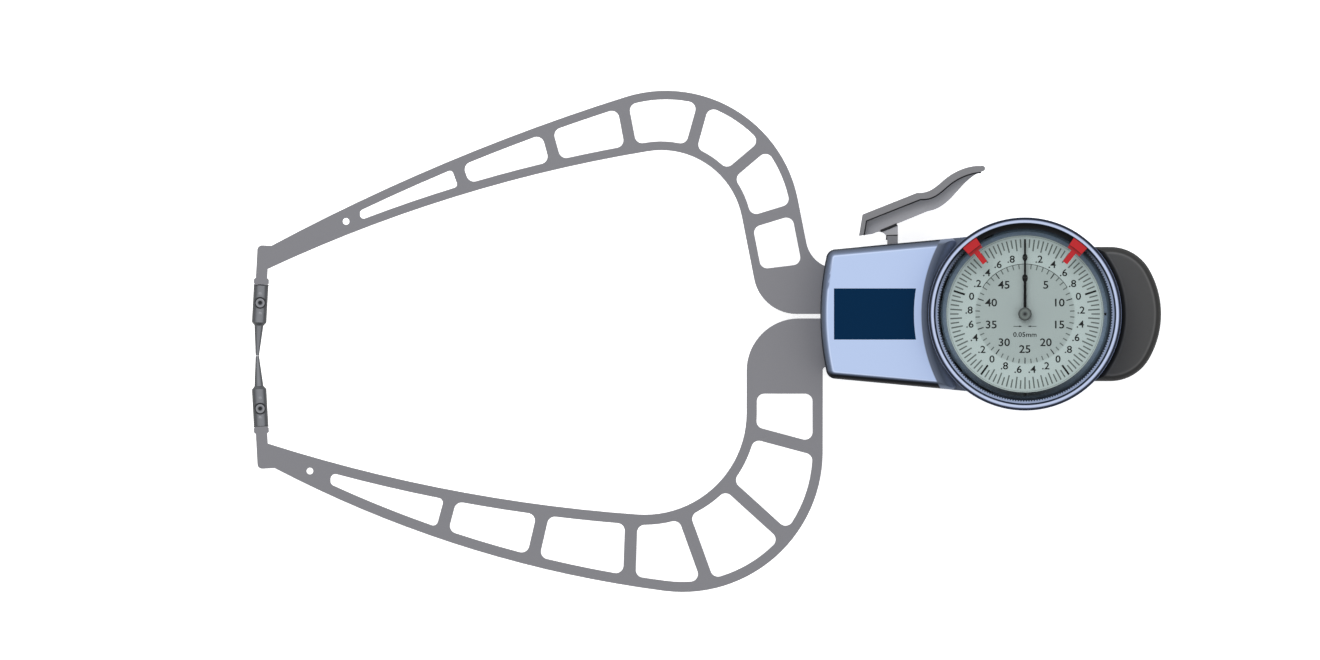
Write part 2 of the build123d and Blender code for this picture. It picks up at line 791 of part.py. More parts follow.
def build_contact(side):
    """Add a contact to the part that is open: a round body with a lap, and a slender finger."""
    plane = post_plane(side, arm_middle)
    shoulder_end = finger_length + contact_shoulder
    with BuildSketch(plane) as half:
        with BuildLine():
            Polyline(
                (0, 0),
                (0, contact_tip_radius),
                (finger_length, finger_radius),
                (shoulder_end, contact_radius),
                (contact_length, contact_radius),
                (contact_length, 0),
                close=True,
            )
        make_face()
        rim = plane.from_local_coords((0, contact_tip_radius))
        fillet(half.vertices().sort_by_distance(rim)[0], contact_tip_radius * tip_round_share)
    revolve(half.sketch, axis=Axis(plane.origin, plane.x_dir))
    lap_length = contact_length - lap_start + cut_overrun
    with BuildSketch(plane) as lap:
        with Locations((lap_start + lap_length / 2, 0)):
            Rectangle(lap_length, 2 * contact_radius + cut_overrun)
    extrude(lap.sketch, amount=-contact_radius - cut_overrun, mode=Mode.SUBTRACT)
    with Locations(post_plane(side, arm_middle + contact_radius)):
        with Locations((contact_screw_at, 0)):
            CounterBoreHole(
                small_screw_shank + screw_clearance,
                small_screw_head + screw_clearance,
                small_screw_head_height,
                2 * contact_radius,
            )


def post_sketch(side, height, length):
    """Post of an arm with the wider head that the contact butts on."""
    middle = (contact_length + length) / 2
    with BuildSketch(post_plane(side, height)) as post:
        with Locations((contact_length + head_length / 2, 0)):
            Rectangle(head_length, 2 * head_half_width)
        chamfer(post.vertices(), head_chamfer)
        with Locations((middle, 0)):
            Rectangle(length - contact_length, 2 * post_half_width)
        corner = (length, side * post_half_width)
        fillet(post.vertices().sort_by_distance(corner)[0], post_round)
    return post.sketch


def tongue_sketch(side, height):
    """Tongue of an arm that the contact laps over, with a round end."""
    start = lap_start + moving_gap
    end = contact_length + head_length / 2
    with BuildSketch(post_plane(side, height)) as tongue:
        with Locations(((start + end) / 2, 0)):
            Rectangle(end - start, 2 * tongue_half_width)
        with Locations((contact_screw_at, 0)):
            Circle(small_screw_shank, mode=Mode.SUBTRACT)
    return tongue.sketch


def build_post(side, bottom, thickness, length):
    """Add an arm's post, head and tongue to the part that is open."""
    extrude(post_sketch(side, bottom, length), amount=thickness)
    extrude(tongue_sketch(side, bottom), amount=arm_middle - bottom)


# Edges of the two arms
fixed_outer = ArmEdge(
    post_point(-1, fixed_post_length, fixed_heel),
    fixed_outer_taper_radius,
    Vector(-case_left - fixed_outer_bow_x, fixed_outer_bow_y),
    fixed_outer_bow_radius,
    fixed_root_lean,
)
fixed_inner = ArmEdge(
    post_point(-1, fixed_post_inner, post_half_width),
    fixed_inner_taper_radius,
    Vector(-case_left - fixed_inner_bow_x, fixed_inner_bow_y),
    fixed_inner_bow_radius,
    fixed_root_lean,
)
movable_outer = ArmEdge(
    post_point(1, movable_post_length, movable_heel),
    movable_outer_taper_radius,
    Vector(-case_left - movable_outer_bow_x, movable_outer_bow_y),
    movable_outer_bow_radius,
    movable_root_lean,
)
movable_inner = ArmEdge(
    post_point(1, movable_post_inner, post_half_width),
    movable_inner_taper_radius,
    Vector(-case_left - movable_inner_bow_x, movable_inner_bow_y),
    movable_inner_bow_radius,
    movable_root_lean,
)

# Places inside the case that follow the fixed arm's tail
tail_right = pivot.X + fixed_tail_reach
fixed_screw_points = [tail_point(*shares) for shares in fixed_screw_shares]
fixed_dowel_points = [tail_point(*shares) for shares in fixed_dowel_shares]

with BuildPart() as fixed_arm:
    with BuildSketch(Plane.XY.offset(plate_top)) as fixed_plan:
        add(
            arm_outline(
                -1,
                fixed_outer,
                fixed_inner,
                arm_gap,
                fixed_crotch_radius,
                post_point(-1, fixed_post_length, 0),
                [Vector(tail_right, fixed_tail_low), Vector(tail_right, arm_gap)],
            )
        )
        add(
            arm_windows(
                -1,
                fixed_outer,
                fixed_inner,
                fixed_chord,
                fixed_rib,
                -contact_reach + fixed_window_from_tip,
                (fixed_window_end_outer, fixed_window_end_inner),
                fixed_taper_rib_shares,
                fixed_bow_rib_angles,
                fixed_window_tip_round,
            ),
            mode=Mode.SUBTRACT,
        )
        fixed_edges = (fixed_outer, fixed_inner)
        fixed_hole_x = -contact_reach + fixed_hole_from_tip
        fixed_hole_y = sum(edge.height(fixed_hole_x) for edge in fixed_edges) / 2
        with Locations((fixed_hole_x, -fixed_hole_y)):
            Circle(arm_hole_radius, mode=Mode.SUBTRACT)
        with Locations((pivot.X, pivot.Y)):
            Circle(hub_radius + hub_clearance, mode=Mode.SUBTRACT)
        with Locations(*[(point.X, point.Y) for point in fixed_screw_points]):
            Circle(case_screw_shank, mode=Mode.SUBTRACT)
        with Locations(*[(point.X, point.Y) for point in fixed_dowel_points]):
            Circle(dowel_radius, mode=Mode.SUBTRACT)
        root_corner = Vector(fixed_outer.points(fixed_outer.start.X, fixed_tail_low)[-1].X, -fixed_tail_low)
        fillet(fixed_plan.vertices().sort_by_distance(root_corner)[0], fixed_tail_round)
    extrude(amount=fixed_arm_thickness)
    build_post(-1, plate_top, fixed_arm_thickness, fixed_post_length)
fixed_arm.part.label = "fixed_arm"
export_step(fixed_arm.part, "parts/fixed_arm.step")

with BuildPart() as movable_arm:
    with BuildSketch(Plane.XY.offset(movable_arm_bottom)) as movable_plan:
        lug_right = pivot.X + lug_reach
        add(
            arm_outline(
                1,
                movable_outer,
                movable_inner,
                0,
                movable_crotch_radius,
                post_point(1, movable_post_length, 0),
                [
                    Vector(lug_right, lug_top),
                    Vector(lug_right, -lug_low),
                    Vector(pivot.X, -lug_low),
                    Vector(pivot.X, 0),
                ],
            )
        )
        add(
            arm_windows(
                1,
                movable_outer,
                movable_inner,
                movable_chord,
                movable_rib,
                -contact_reach + movable_window_from_tip,
                (movable_window_end_outer, movable_window_end_inner),
                movable_taper_rib_shares,
                movable_bow_rib_angles,
                movable_window_tip_round,
            ),
            mode=Mode.SUBTRACT,
        )
        neck_corner = movable_outer.points(movable_outer.start.X, lug_top)[-1]
        fillet(movable_plan.vertices().sort_by_distance(neck_corner)[0], movable_neck_round)
        for corner_y in (lug_top, -lug_low):
            lug_corner = Vector(lug_right, corner_y)
            fillet(movable_plan.vertices().sort_by_distance(lug_corner)[0], lug_round)
        movable_edges = (movable_outer, movable_inner)
        movable_hole_x = -contact_reach + movable_hole_from_tip
        movable_hole_y = sum(edge.height(movable_hole_x) for edge in movable_edges) / 2
        with Locations((movable_hole_x, movable_hole_y)):
            Circle(arm_hole_radius, mode=Mode.SUBTRACT)
        with Locations((pivot.X, pivot.Y)):
            Circle(hub_radius)
            Circle(bush_radius, mode=Mode.SUBTRACT)
        with Locations(*[(point.X, point.Y) for point in sector_screw_points + lever_screw_points]):
            Circle(small_screw_shank, mode=Mode.SUBTRACT)
    extrude(amount=movable_arm_thickness)
    build_post(1, movable_arm_bottom, movable_arm_thickness, movable_post_length)
movable_arm.part.label = "movable_arm"
export_step(movable_arm.part, "parts/movable_arm.step")

with BuildPart() as fixed_contact:
    build_contact(-1)
fixed_contact.part.label = "fixed_contact"
export_step(fixed_contact.part, "parts/fixed_contact.step")

with BuildPart() as movable_contact:
    build_contact(1)
movable_contact.part.label = "movable_contact"
export_step(movable_contact.part, "parts/movable_contact.step")

with BuildPart() as fixed_contact_screw:
    contact_screw_seat = arm_middle + contact_radius - small_screw_head_height
    fixed_screw_point = post_plane(-1, 0).from_local_coords((contact_screw_at, 0))
    add_screws(
        [fixed_screw_point],
        contact_screw_seat,
        1,
        small_screw_head,
        small_screw_head_height,
        small_screw_shank,
        contact_screw_seat - plate_top,
    )
fixed_contact_screw.part.label = "fixed_contact_screw"
export_step(fixed_contact_screw.part, "parts/fixed_contact_screw.step")

with BuildPart() as movable_contact_screw:
    movable_screw_point = post_plane(1, 0).from_local_coords((contact_screw_at, 0))
    add_screws(
        [movable_screw_point],
        contact_screw_seat,
        1,
        small_screw_head,
        small_screw_head_height,
        small_screw_shank,
        contact_screw_seat - movable_arm_bottom,
    )
movable_contact_screw.part.label = "movable_contact_screw"
export_step(movable_contact_screw.part, "parts/movable_contact_screw.step")

# Case: front housing, rear cover, seal, grip and label
with BuildPart() as front_housing:
    with BuildSketch(Plane.XY.offset(case_split)):
        add(case_profile(0))
        with Locations((-case_shoulder_x - side_groove_lead, 0)):
            groove_y = sqrt(drum_radius**2 - case_shoulder_x**2)
            with Locations((0, groove_y), (0, -groove_y)):
                Rectangle(
                    side_groove_width / sqrt(2), side_groove_width / sqrt(2), rotation=45, mode=Mode.SUBTRACT
                )
    extrude(amount=shoulder_height - case_split)
    with BuildSketch(Plane.XY.offset(shoulder_height)):
        add(block_profile())
    extrude(amount=case_height - shoulder_height)
    fillet(front_housing.edges().group_by(Axis.Z)[-1], block_round)
    with BuildSketch(Plane.XZ):
        brow = (block_back_x - block_back_radius - block_slope, case_height)
        foot = (block_back_x - block_back_radius, shoulder_height)
        with BuildLine():
            Polyline(brow, (block_back_x, case_height), (block_back_x, shoulder_height), foot)
            TangentArc(brow, foot, tangent=(1, 0))
        make_face()
    revolve(axis=Axis((block_back_x, 0, 0), (0, 0, 1)), mode=Mode.SUBTRACT)
    with BuildSketch(Plane.XY.offset(case_split)):
        Circle(drum_radius)
    extrude(amount=drum_height - case_split)
    with BuildSketch(Plane.XY.offset(drum_height)):
        Circle(bezel_radius + bezel_clearance)
    extrude(amount=case_height - drum_height + cut_overrun, mode=Mode.SUBTRACT)
    with BuildSketch(Plane.XY.offset(drum_height)):
        Circle(neck_radius)
        Circle(neck_bore, mode=Mode.SUBTRACT)
    extrude(amount=neck_height)
    snap_groove_bottom = bezel_bottom + snap_ring_at - running_gap
    with BuildSketch(Plane.XY.offset(snap_groove_bottom)):
        Circle(neck_radius + cut_overrun)
        Circle(neck_radius - snap_ring_depth, mode=Mode.SUBTRACT)
    extrude(amount=snap_ring_height + 2 * running_gap, mode=Mode.SUBTRACT)
    with BuildSketch(Plane.XY.offset(case_split)):
        add(case_profile(case_wall))
    extrude(amount=cavity_height - case_split, mode=Mode.SUBTRACT)
    with BuildSketch(Plane.XY.offset(cavity_height)):
        Circle(drum_opening_radius)
    extrude(amount=drum_height - cavity_height, mode=Mode.SUBTRACT)
    add_pins(boss_points, plate_top, cavity_height, boss_radius)
    cut_pins(boss_points, plate_top, plate_height + case_screw_grip, case_screw_shank)
    with BuildSketch(Plane.XY.offset(case_split)):
        slot_low = -fixed_tail_low - moving_gap
        slot_high = case_corner_y + case_corner_round
        with Locations((-case_left + arm_slot_depth / 2 - cut_overrun / 2, (slot_low + slot_high) / 2)):
            Rectangle(arm_slot_depth + cut_overrun, slot_high - slot_low)
    extrude(amount=fixed_arm_top + moving_gap - case_split, mode=Mode.SUBTRACT)
    stem_slot_bottom = arm_middle - lever_web / 2 - moving_gap
    stem_slot_top = movable_arm_top + foot_thickness + moving_gap
    with BuildSketch(Plane.XY.offset(stem_slot_bottom)):
        slot_start = stem_x - stem_width / 2 - moving_gap
        slot_end = swung(stem_top_right, swing).X + moving_gap
        with Locations(((slot_start + slot_end) / 2, (lug_top + lever_y) / 2)):
            Rectangle(slot_end - slot_start, lever_y - lug_top)
    extrude(amount=stem_slot_top - stem_slot_bottom, mode=Mode.SUBTRACT)
    with BuildSketch(Plane.XY.offset(case_height - label_thickness)) as label_plan:
        label_back_radius = block_back_radius + block_slope + label_back_gap
        with Locations((-case_left + label_inset, 0)):
            Rectangle(case_left, 2 * label_half_height, align=(Align.MIN, Align.CENTER))
        with Locations((block_back_x, 0)):
            Circle(label_back_radius, mode=Mode.SUBTRACT)
    extrude(amount=label_thickness, mode=Mode.SUBTRACT)
front_housing.part.label = "front_housing"
export_step(front_housing.part, "parts/front_housing.step")

with BuildPart() as label_plate:
    add(extrude(label_plan.sketch, amount=label_thickness, mode=Mode.PRIVATE))
label_plate.part.label = "label_plate"
export_step(label_plate.part, "parts/label_plate.step")

with BuildPart() as rear_cover:
    with BuildSketch():
        add(case_profile(0))
        add(grip_profile(0))
    extrude(amount=case_split)
    fillet(rear_cover.edges().group_by(Axis.Z)[0], cover_round)
    with BuildSketch(Plane.XY.offset(cover_floor)):
        add(case_profile(cover_wall))
    extrude(amount=case_split - cover_floor, mode=Mode.SUBTRACT)
    with BuildSketch(Plane.XY.offset(cover_floor)):
        add(grip_profile(cover_wall))
        Circle(drum_radius, mode=Mode.SUBTRACT)
    extrude(amount=case_split - cover_floor, mode=Mode.SUBTRACT)
    add_pins(cover_screw_points, cover_floor, plate_height, cover_post_radius)
    add_pins([Vector(grip_screw_x, 0)], cover_floor, case_split, cover_post_radius)
    with BuildSketch(Plane.XY.offset(case_split - seal_depth)) as seal_plan:
        add(case_profile(seal_inset))
        add(case_profile(seal_inset + seal_width), mode=Mode.SUBTRACT)
    extrude(amount=seal_depth, mode=Mode.SUBTRACT)
    cut_pins(cover_screw_points, 0, cover_floor, case_screw_head + screw_clearance)
    cut_pins(cover_screw_points, 0, plate_height, case_screw_shank + screw_clearance)
    grip_screw_seat = case_split - case_screw_grip / 2
    cut_pins([Vector(grip_screw_x, 0)], 0, grip_screw_seat, case_screw_head + screw_clearance)
    cut_pins([Vector(grip_screw_x, 0)], 0, case_split, case_screw_shank + screw_clearance)
rear_cover.part.label = "rear_cover"
export_step(rear_cover.part, "parts/rear_cover.step")

with BuildPart() as case_seal:
    add(extrude(seal_plan.sketch, amount=seal_depth, mode=Mode.PRIVATE))
case_seal.part.label = "case_seal"
export_step(case_seal.part, "parts/case_seal.step")

with BuildPart() as grip_cap:
    with BuildSketch(Plane.XY.offset(case_split)):
        add(grip_profile(0))
        Circle(drum_radius, mode=Mode.SUBTRACT)
    extrude(amount=grip_height - case_split)
    fillet(grip_cap.faces().sort_by(Axis.Z)[-1].edges(), grip_round)
    cut_pins([Vector(grip_screw_x, 0)], case_split, grip_screw_seat + case_screw_grip, case_screw_shank)
grip_cap.part.label = "grip_cap"
export_step(grip_cap.part, "parts/grip_cap.step")

# Plates of the movement, and what joins them to each other and to the case
with BuildPart() as chassis_plate:
    with BuildSketch(Plane.XY.offset(plate_height)):
        add(case_profile(case_wall + moving_gap))
        with Locations((plate_right_share * drum_radius, 0)):
            Rectangle(case_left, case_left, align=(Align.MIN, Align.CENTER), mode=Mode.SUBTRACT)
        with Locations((pivot.X, pivot.Y)):
            Circle(shaft_radius, mode=Mode.SUBTRACT)
        with Locations(*[(point.X, point.Y) for point in boss_points]):
            Circle(case_screw_shank + screw_clearance, mode=Mode.SUBTRACT)
        with Locations(*[(point.X, point.Y) for point in cover_screw_points + fixed_screw_points]):
            Circle(case_screw_shank, mode=Mode.SUBTRACT)
        with Locations(*[(point.X, point.Y) for point in fixed_dowel_points]):
            Circle(dowel_radius, mode=Mode.SUBTRACT)
        stop_at = Vector(pivot.X + stop_share * lug_reach, -lug_low - stop_radius - stop_gap)
        stop_point = swung(stop_at, swing)
        with Locations((stop_point.X, stop_point.Y)):
            Circle(stop_radius, mode=Mode.SUBTRACT)
        with Locations(*[(point.X, point.Y) for point in pillar_points]):
            Circle(pillar_tenon_radius, mode=Mode.SUBTRACT)
        with Locations((0, 0), (idler.X, idler.Y)):
            Circle(arbor_pivot_radius + running_gap + bush_wall, mode=Mode.SUBTRACT)
    extrude(amount=plate_thickness)
chassis_plate.part.label = "chassis_plate"
export_step(chassis_plate.part, "parts/chassis_plate.step")

with BuildPart() as chassis_screws:
    add_screws(
        boss_points,
        plate_height,
        -1,
        case_screw_head,
        case_screw_head_height,
        case_screw_shank,
        case_screw_grip,
    )
chassis_screws.part.label = "chassis_screws"
export_step(chassis_screws.part, "parts/chassis_screws.step")

with BuildPart() as cover_screws:
    add_screws(
        cover_screw_points,
        cover_floor,
        -1,
        case_screw_head,
        case_screw_head_height,
        case_screw_shank,
        case_screw_grip,
    )
cover_screws.part.label = "cover_screws"
export_step(cover_screws.part, "parts/cover_screws.step")

with BuildPart() as grip_screw:
    add_screws(
        [Vector(grip_screw_x, 0)],
        grip_screw_seat,
        -1,
        case_screw_head,
        case_screw_head_height,
        case_screw_shank,
        case_screw_grip,
    )
grip_screw.part.label = "grip_screw"
export_step(grip_screw.part, "parts/grip_screw.step")

with BuildPart() as fixed_arm_screws:
    add_screws(
        fixed_screw_points,
        fixed_arm_top,
        1,
        case_screw_head,
        case_screw_head_height,
        case_screw_shank,
        case_screw_grip,
    )
fixed_arm_screws.part.label = "fixed_arm_screws"
export_step(fixed_arm_screws.part, "parts/fixed_arm_screws.step")

with BuildPart() as fixed_arm_dowels:
    add_pins(fixed_dowel_points, plate_height, fixed_arm_top, dowel_radius)
fixed_arm_dowels.part.label = "fixed_arm_dowels"
export_step(fixed_arm_dowels.part, "parts/fixed_arm_dowels.step")

with BuildPart() as open_stop:
    add_pins([stop_point], plate_height, fixed_arm_top - stop_drop, stop_radius)
open_stop.part.label = "open_stop"
export_step(open_stop.part, "parts/open_stop.step")

with BuildPart() as bridge_pillars:
    add_pins(pillar_points, plate_top, bridge_height, pillar_radius)
    add_pins(pillar_points, plate_height, plate_top, pillar_tenon_radius)
    cut_pins(pillar_points, bridge_top - small_screw_grip, bridge_height, small_screw_shank)
bridge_pillars.part.label = "bridge_pillars"
export_step(bridge_pillars.part, "parts/bridge_pillars.step")

with BuildPart() as gear_bridge:
    with BuildSketch(Plane.XY.offset(bridge_height)):
        with Locations(*[(point.X, point.Y) for point in pillar_points + [idler]]):
            Circle(bridge_rim)
        make_hull()
        with Locations(*[(point.X, point.Y) for point in pillar_points]):
            Circle(small_screw_shank, mode=Mode.SUBTRACT)
        with Locations((idler.X, idler.Y)):
            Circle(arbor_pivot_radius + running_gap + bush_wall, mode=Mode.SUBTRACT)
        Circle(tube_radius + running_gap + bush_wall, mode=Mode.SUBTRACT)
        with Locations((hair_stud.X, hair_stud.Y)):
            Circle(stud_radius, mode=Mode.SUBTRACT)
    extrude(amount=bridge_thickness)
gear_bridge.part.label = "gear_bridge"
export_step(gear_bridge.part, "parts/gear_bridge.step")

with BuildPart() as bridge_screws:
    add_screws(
        pillar_points,
        bridge_top,
        1,
        small_screw_head,
        small_screw_head_height,
        small_screw_shank,
        small_screw_grip,
    )
bridge_screws.part.label = "bridge_screws"
export_step(bridge_screws.part, "parts/bridge_screws.step")

with BuildPart() as train_bushes:
    add_pins([Vector(0, 0), idler], plate_height, plate_top, arbor_pivot_radius + running_gap + bush_wall)
    add_pins([idler], bridge_height, bridge_top, arbor_pivot_radius + running_gap + bush_wall)
    cut_pins([Vector(0, 0), idler], plate_height, bridge_top, arbor_pivot_radius + running_gap)
    add_pins([Vector(0, 0)], bridge_height, bridge_top, tube_radius + running_gap + bush_wall)
    cut_pins([Vector(0, 0)], bridge_height, bridge_top, tube_radius + running_gap)
train_bushes.part.label = "train_bushes"
export_step(train_bushes.part, "parts/train_bushes.step")

# Pivot of the movable arm
with BuildPart() as pivot_shaft:
    shaft_head_radius = shaft_radius + shaft_head_width
    add_pins([pivot], plate_height - shaft_head_height, plate_height, shaft_head_radius)
    add_pins([pivot], plate_height, shaft_top, shaft_radius)
    with BuildSketch(Plane.XY.offset(clip_seat)):
        with Locations((pivot.X, pivot.Y)):
            Circle(shaft_radius + cut_overrun)
            Circle(shaft_radius - clip_groove, mode=Mode.SUBTRACT)
    extrude(amount=collet_seat - clip_seat, mode=Mode.SUBTRACT)
    chamfer(pivot_shaft.edges().group_by(Axis.Z)[-1], clip_groove)
pivot_shaft.part.label = "pivot_shaft"
export_step(pivot_shaft.part, "parts/pivot_shaft.step")

with BuildPart() as thrust_washers:
    add_pins([pivot], plate_top, plate_top + washer_thickness, washer_radius)
    add_pins([pivot], washer_seat, clip_seat, washer_radius)
    cut_pins([pivot], plate_top, clip_seat, shaft_radius + running_gap)
thrust_washers.part.label = "thrust_washers"
export_step(thrust_washers.part, "parts/thrust_washers.step")

with BuildPart() as retaining_ring:
    with BuildSketch(Plane.XY.offset(clip_seat)):
        with Locations(Location((pivot.X, pivot.Y), -clip_opening / 2)):
            Circle(clip_radius)
            Circle(shaft_radius - clip_groove, mode=Mode.SUBTRACT)
            with BuildLine():
                far_corner = polar(Vector(0, 0), 2 * clip_radius, clip_opening)
                Polyline((0, 0), (2 * clip_radius, 0), far_corner, close=True)
            make_face(mode=Mode.SUBTRACT)
    extrude(amount=clip_thickness)
retaining_ring.part.label = "retaining_ring"
export_step(retaining_ring.part, "parts/retaining_ring.step")

with BuildPart() as spring_collet:
    add_pins([pivot], collet_seat, collet_seat + spring_strip_height, shaft_radius + collet_wall)
    cut_pins([pivot], collet_seat, collet_seat + spring_strip_height, shaft_radius)
spring_collet.part.label = "spring_collet"
export_step(spring_collet.part, "parts/spring_collet.step")

with BuildPart() as measuring_spring:
    with BuildSketch(spring_plane):
        add(spiral_profile(spring_first_radius, spring_pitch, spring_half_turns, spring_strip))
    extrude(amount=-spring_strip_height)
measuring_spring.part.label = "measuring_spring"
export_step(measuring_spring.part, "parts/measuring_spring.step")

with BuildPart() as pivot_bush:
    add_pins([pivot], movable_arm_bottom, sector_top, bush_radius)
    cut_pins([pivot], movable_arm_bottom, sector_top, shaft_radius + running_gap)
pivot_bush.part.label = "pivot_bush"
export_step(pivot_bush.part, "parts/pivot_bush.step")

# Sector on the movable arm
with BuildPart() as toothed_sector:
    first_tooth = -sector_spare_teeth
    last_tooth = round(swing / (360 / sector_teeth)) + sector_spare_teeth
    corners = []
    for tooth in range(first_tooth, last_tooth + 1):
        tooth_angle = line_angle + tooth * 360 / sector_teeth
        corners += tooth_points(sector_teeth, sector_module, tooth_angle)
    low_angle = line_angle + first_tooth * 360 / sector_teeth - sector_end_angle
    high_angle = line_angle + last_tooth * 360 / sector_teeth + sector_end_angle
    middle_angle = (low_angle + high_angle) / 2
    root_radius = sector_radius - tooth_root_share * sector_module
    centre = Vector(0, 0)
    with BuildSketch(Plane(origin=(pivot.X, pivot.Y, movable_arm_top))):
        with BuildLine():
            Polyline(
                centre,
                polar(centre, root_radius, low_angle),
                *corners,
                polar(centre, root_radius, high_angle),
                close=True,
            )
        make_face()
        window_half = (high_angle - low_angle) / 2 - degrees(sector_spoke / sector_window_start)
        add(
            ring_piece(sector_window_start, root_radius - sector_rim, window_half, middle_angle),
            mode=Mode.SUBTRACT,
        )
        Circle(sector_hub_radius)
        Circle(bush_radius, mode=Mode.SUBTRACT)
        with Locations(*[polar(centre, reach, sector_screw_angle) for reach in sector_screw_reaches]):
            Circle(small_screw_shank, mode=Mode.SUBTRACT)
        with Locations(polar(centre, spring_pin_reach, spring_pin_angle)):
            Circle(spring_pin_radius, mode=Mode.SUBTRACT)
    extrude(amount=sector_thickness)
toothed_sector.part.label = "toothed_sector"
export_step(toothed_sector.part, "parts/toothed_sector.step")

with BuildPart() as sector_screws:
    add_screws(
        sector_screw_points,
        sector_top,
        1,
        small_screw_head,
        small_screw_head_height,
        small_screw_shank,
        small_screw_grip,
    )
sector_screws.part.label = "sector_screws"
export_step(sector_screws.part, "parts/sector_screws.step")

with BuildPart() as spring_pin:
    spring_pin_point = polar(pivot, spring_pin_reach, spring_pin_angle)
    add_pins([spring_pin_point], movable_arm_top, collet_seat + spring_strip_height, spring_pin_radius)
spring_pin.part.label = "spring_pin"
export_step(spring_pin.part, "parts/spring_pin.step")

# Lever with its stem and the foot that is screwed to the movable arm
with BuildPart() as lever:
    web_bottom = arm_middle - lever_web / 2
    stem_bottom = lug_top + seat_gap
    with BuildSketch(Plane.XY.offset(web_bottom)) as web_plan:
        add(lever_profile())
        with Locations((stem_x, stem_bottom)):
            Rectangle(stem_width, lever_y - stem_bottom + stem_width, align=(Align.CENTER, Align.MIN))
        stem_corner = Vector(stem_x - stem_width / 2, lever_y)
        fillet(web_plan.vertices().sort_by_distance(stem_corner)[0], stem_fillet)
    extrude(amount=lever_web)
    with BuildSketch(Plane.XY.offset(web_bottom)):
        with Locations((stem_x, stem_bottom)):
            Rectangle(stem_width, lever_y - stem_bottom, align=(Align.CENTER, Align.MIN))
    extrude(amount=movable_arm_top + foot_thickness - web_bottom)
    with BuildSketch(Plane.XY.offset(arm_middle - lever_pad_width / 2)):
        add(lever_profile())
        with Locations((lever_rim_x, -lever_rim_y)):
            add(lever_profile(), mode=Mode.SUBTRACT)
    extrude(amount=lever_pad_width)
    with BuildSketch(Plane.XY.offset(movable_arm_top)):
        with Locations((stem_x - foot_left, lug_top - foot_depth)):
            foot_length = foot_depth + seat_gap + foot_thickness
            Rectangle(foot_left + foot_right, foot_length, align=(Align.MIN, Align.MIN))
        with Locations(*[(point.X, point.Y) for point in lever_screw_points]):
            Circle(small_screw_shank, mode=Mode.SUBTRACT)
    extrude(amount=foot_thickness)
lever.part.label = "lever"
export_step(lever.part, "parts/lever.step")

with BuildPart() as lever_screws:
    add_screws(
        lever_screw_points,
        movable_arm_top + foot_thickness,
        1,
        small_screw_head,
        small_screw_head_height,
        small_screw_shank,
        small_screw_grip,
    )
lever_screws.part.label = "lever_screws"
export_step(lever_screws.part, "parts/lever_screws.step")

# Idler: its arbor is turned in one piece with the pinion that the sector drives
back_angle = line_angle + 180
with BuildPart() as idler_arbor:
    with BuildSketch(Plane(origin=(idler.X, idler.Y, movable_arm_top - pinion_spare))):
        add(gear_profile(leaf_teeth, sector_module, back_angle + 180 / leaf_teeth))
    extrude(amount=sector_thickness + 2 * pinion_spare)
    add_pins([idler], plate_height + seat_gap, bridge_top - seat_gap, arbor_pivot_radius)
    add_pins([idler], plate_top + end_gap, bridge_height - end_gap, arbor_radius)
idler_arbor.part.label = "idler_arbor"
export_step(idler_arbor.part, "parts/idler_arbor.step")

with BuildPart() as idler_wheel:
    with BuildSketch(Plane(origin=(idler.X, idler.Y, idler_wheel_height))):
        add(gear_profile(idler_wheel_teeth, train_module, line_angle))
        wheel_window = idler_wheel_teeth * train_module / 2 - sector_rim / 2
        for quarter in range(4):
            add(
                ring_piece(wheel_window / 2, wheel_window, 90 * wheel_window_share, 90 * quarter),
                mode=Mode.SUBTRACT,
            )
        Circle(arbor_radius, mode=Mode.SUBTRACT)
    extrude(amount=wheel_thickness)
idler_wheel.part.label = "idler_wheel"
export_step(idler_wheel.part, "parts/idler_wheel.step")

with BuildPart() as idler_pinion:
    with BuildSketch(Plane(origin=(idler.X, idler.Y, short_wheel_height))):
        add(gear_profile(idler_pinion_teeth, train_module, line_angle))
        Circle(arbor_radius, mode=Mode.SUBTRACT)
    extrude(amount=wheel_thickness)
idler_pinion.part.label = "idler_pinion"
export_step(idler_pinion.part, "parts/idler_pinion.step")

# Arbor of the long hand, and the tube round it that carries the short hand
with BuildPart() as centre_arbor:
    with BuildSketch(Plane.XY.offset(idler_wheel_height - pinion_spare)):
        add(gear_profile(centre_pinion_teeth, train_module, back_angle + 180 / centre_pinion_teeth))
    extrude(amount=wheel_thickness + 2 * pinion_spare)
    add_pins([Vector(0, 0)], plate_height + seat_gap, plate_top + end_gap, arbor_pivot_radius)
    add_pins([Vector(0, 0)], plate_top + end_gap, boss_cap_top - boss_cap_height / 2, centre_arbor_radius)
centre_arbor.part.label = "centre_arbor"
export_step(centre_arbor.part, "parts/centre_arbor.step")

with BuildPart() as short_hand_tube:
    tube_bottom = short_wheel_height - level_gap / 3
    add_pins([Vector(0, 0)], tube_bottom, short_hand_height + hand_thickness, tube_radius)
    cut_pins([Vector(0, 0)], tube_bottom, long_hand_height, centre_arbor_radius + running_gap)
short_hand_tube.part.label = "short_hand_tube"
export_step(short_hand_tube.part, "parts/short_hand_tube.step")

with BuildPart() as short_hand_wheel:
    with BuildSketch(Plane.XY.offset(short_wheel_height)):
        add(gear_profile(short_wheel_teeth, train_module, back_angle + 180 / short_wheel_teeth))
        wheel_window = short_wheel_teeth * train_module / 2 - sector_rim / 2
        for quarter in range(4):
            add(
                ring_piece(wheel_window / 2, wheel_window, 90 * wheel_window_share, 90 * quarter),
                mode=Mode.SUBTRACT,
            )
        Circle(tube_radius, mode=Mode.SUBTRACT)
    extrude(amount=wheel_thickness)
short_hand_wheel.part.label = "short_hand_wheel"
export_step(short_hand_wheel.part, "parts/short_hand_wheel.step")

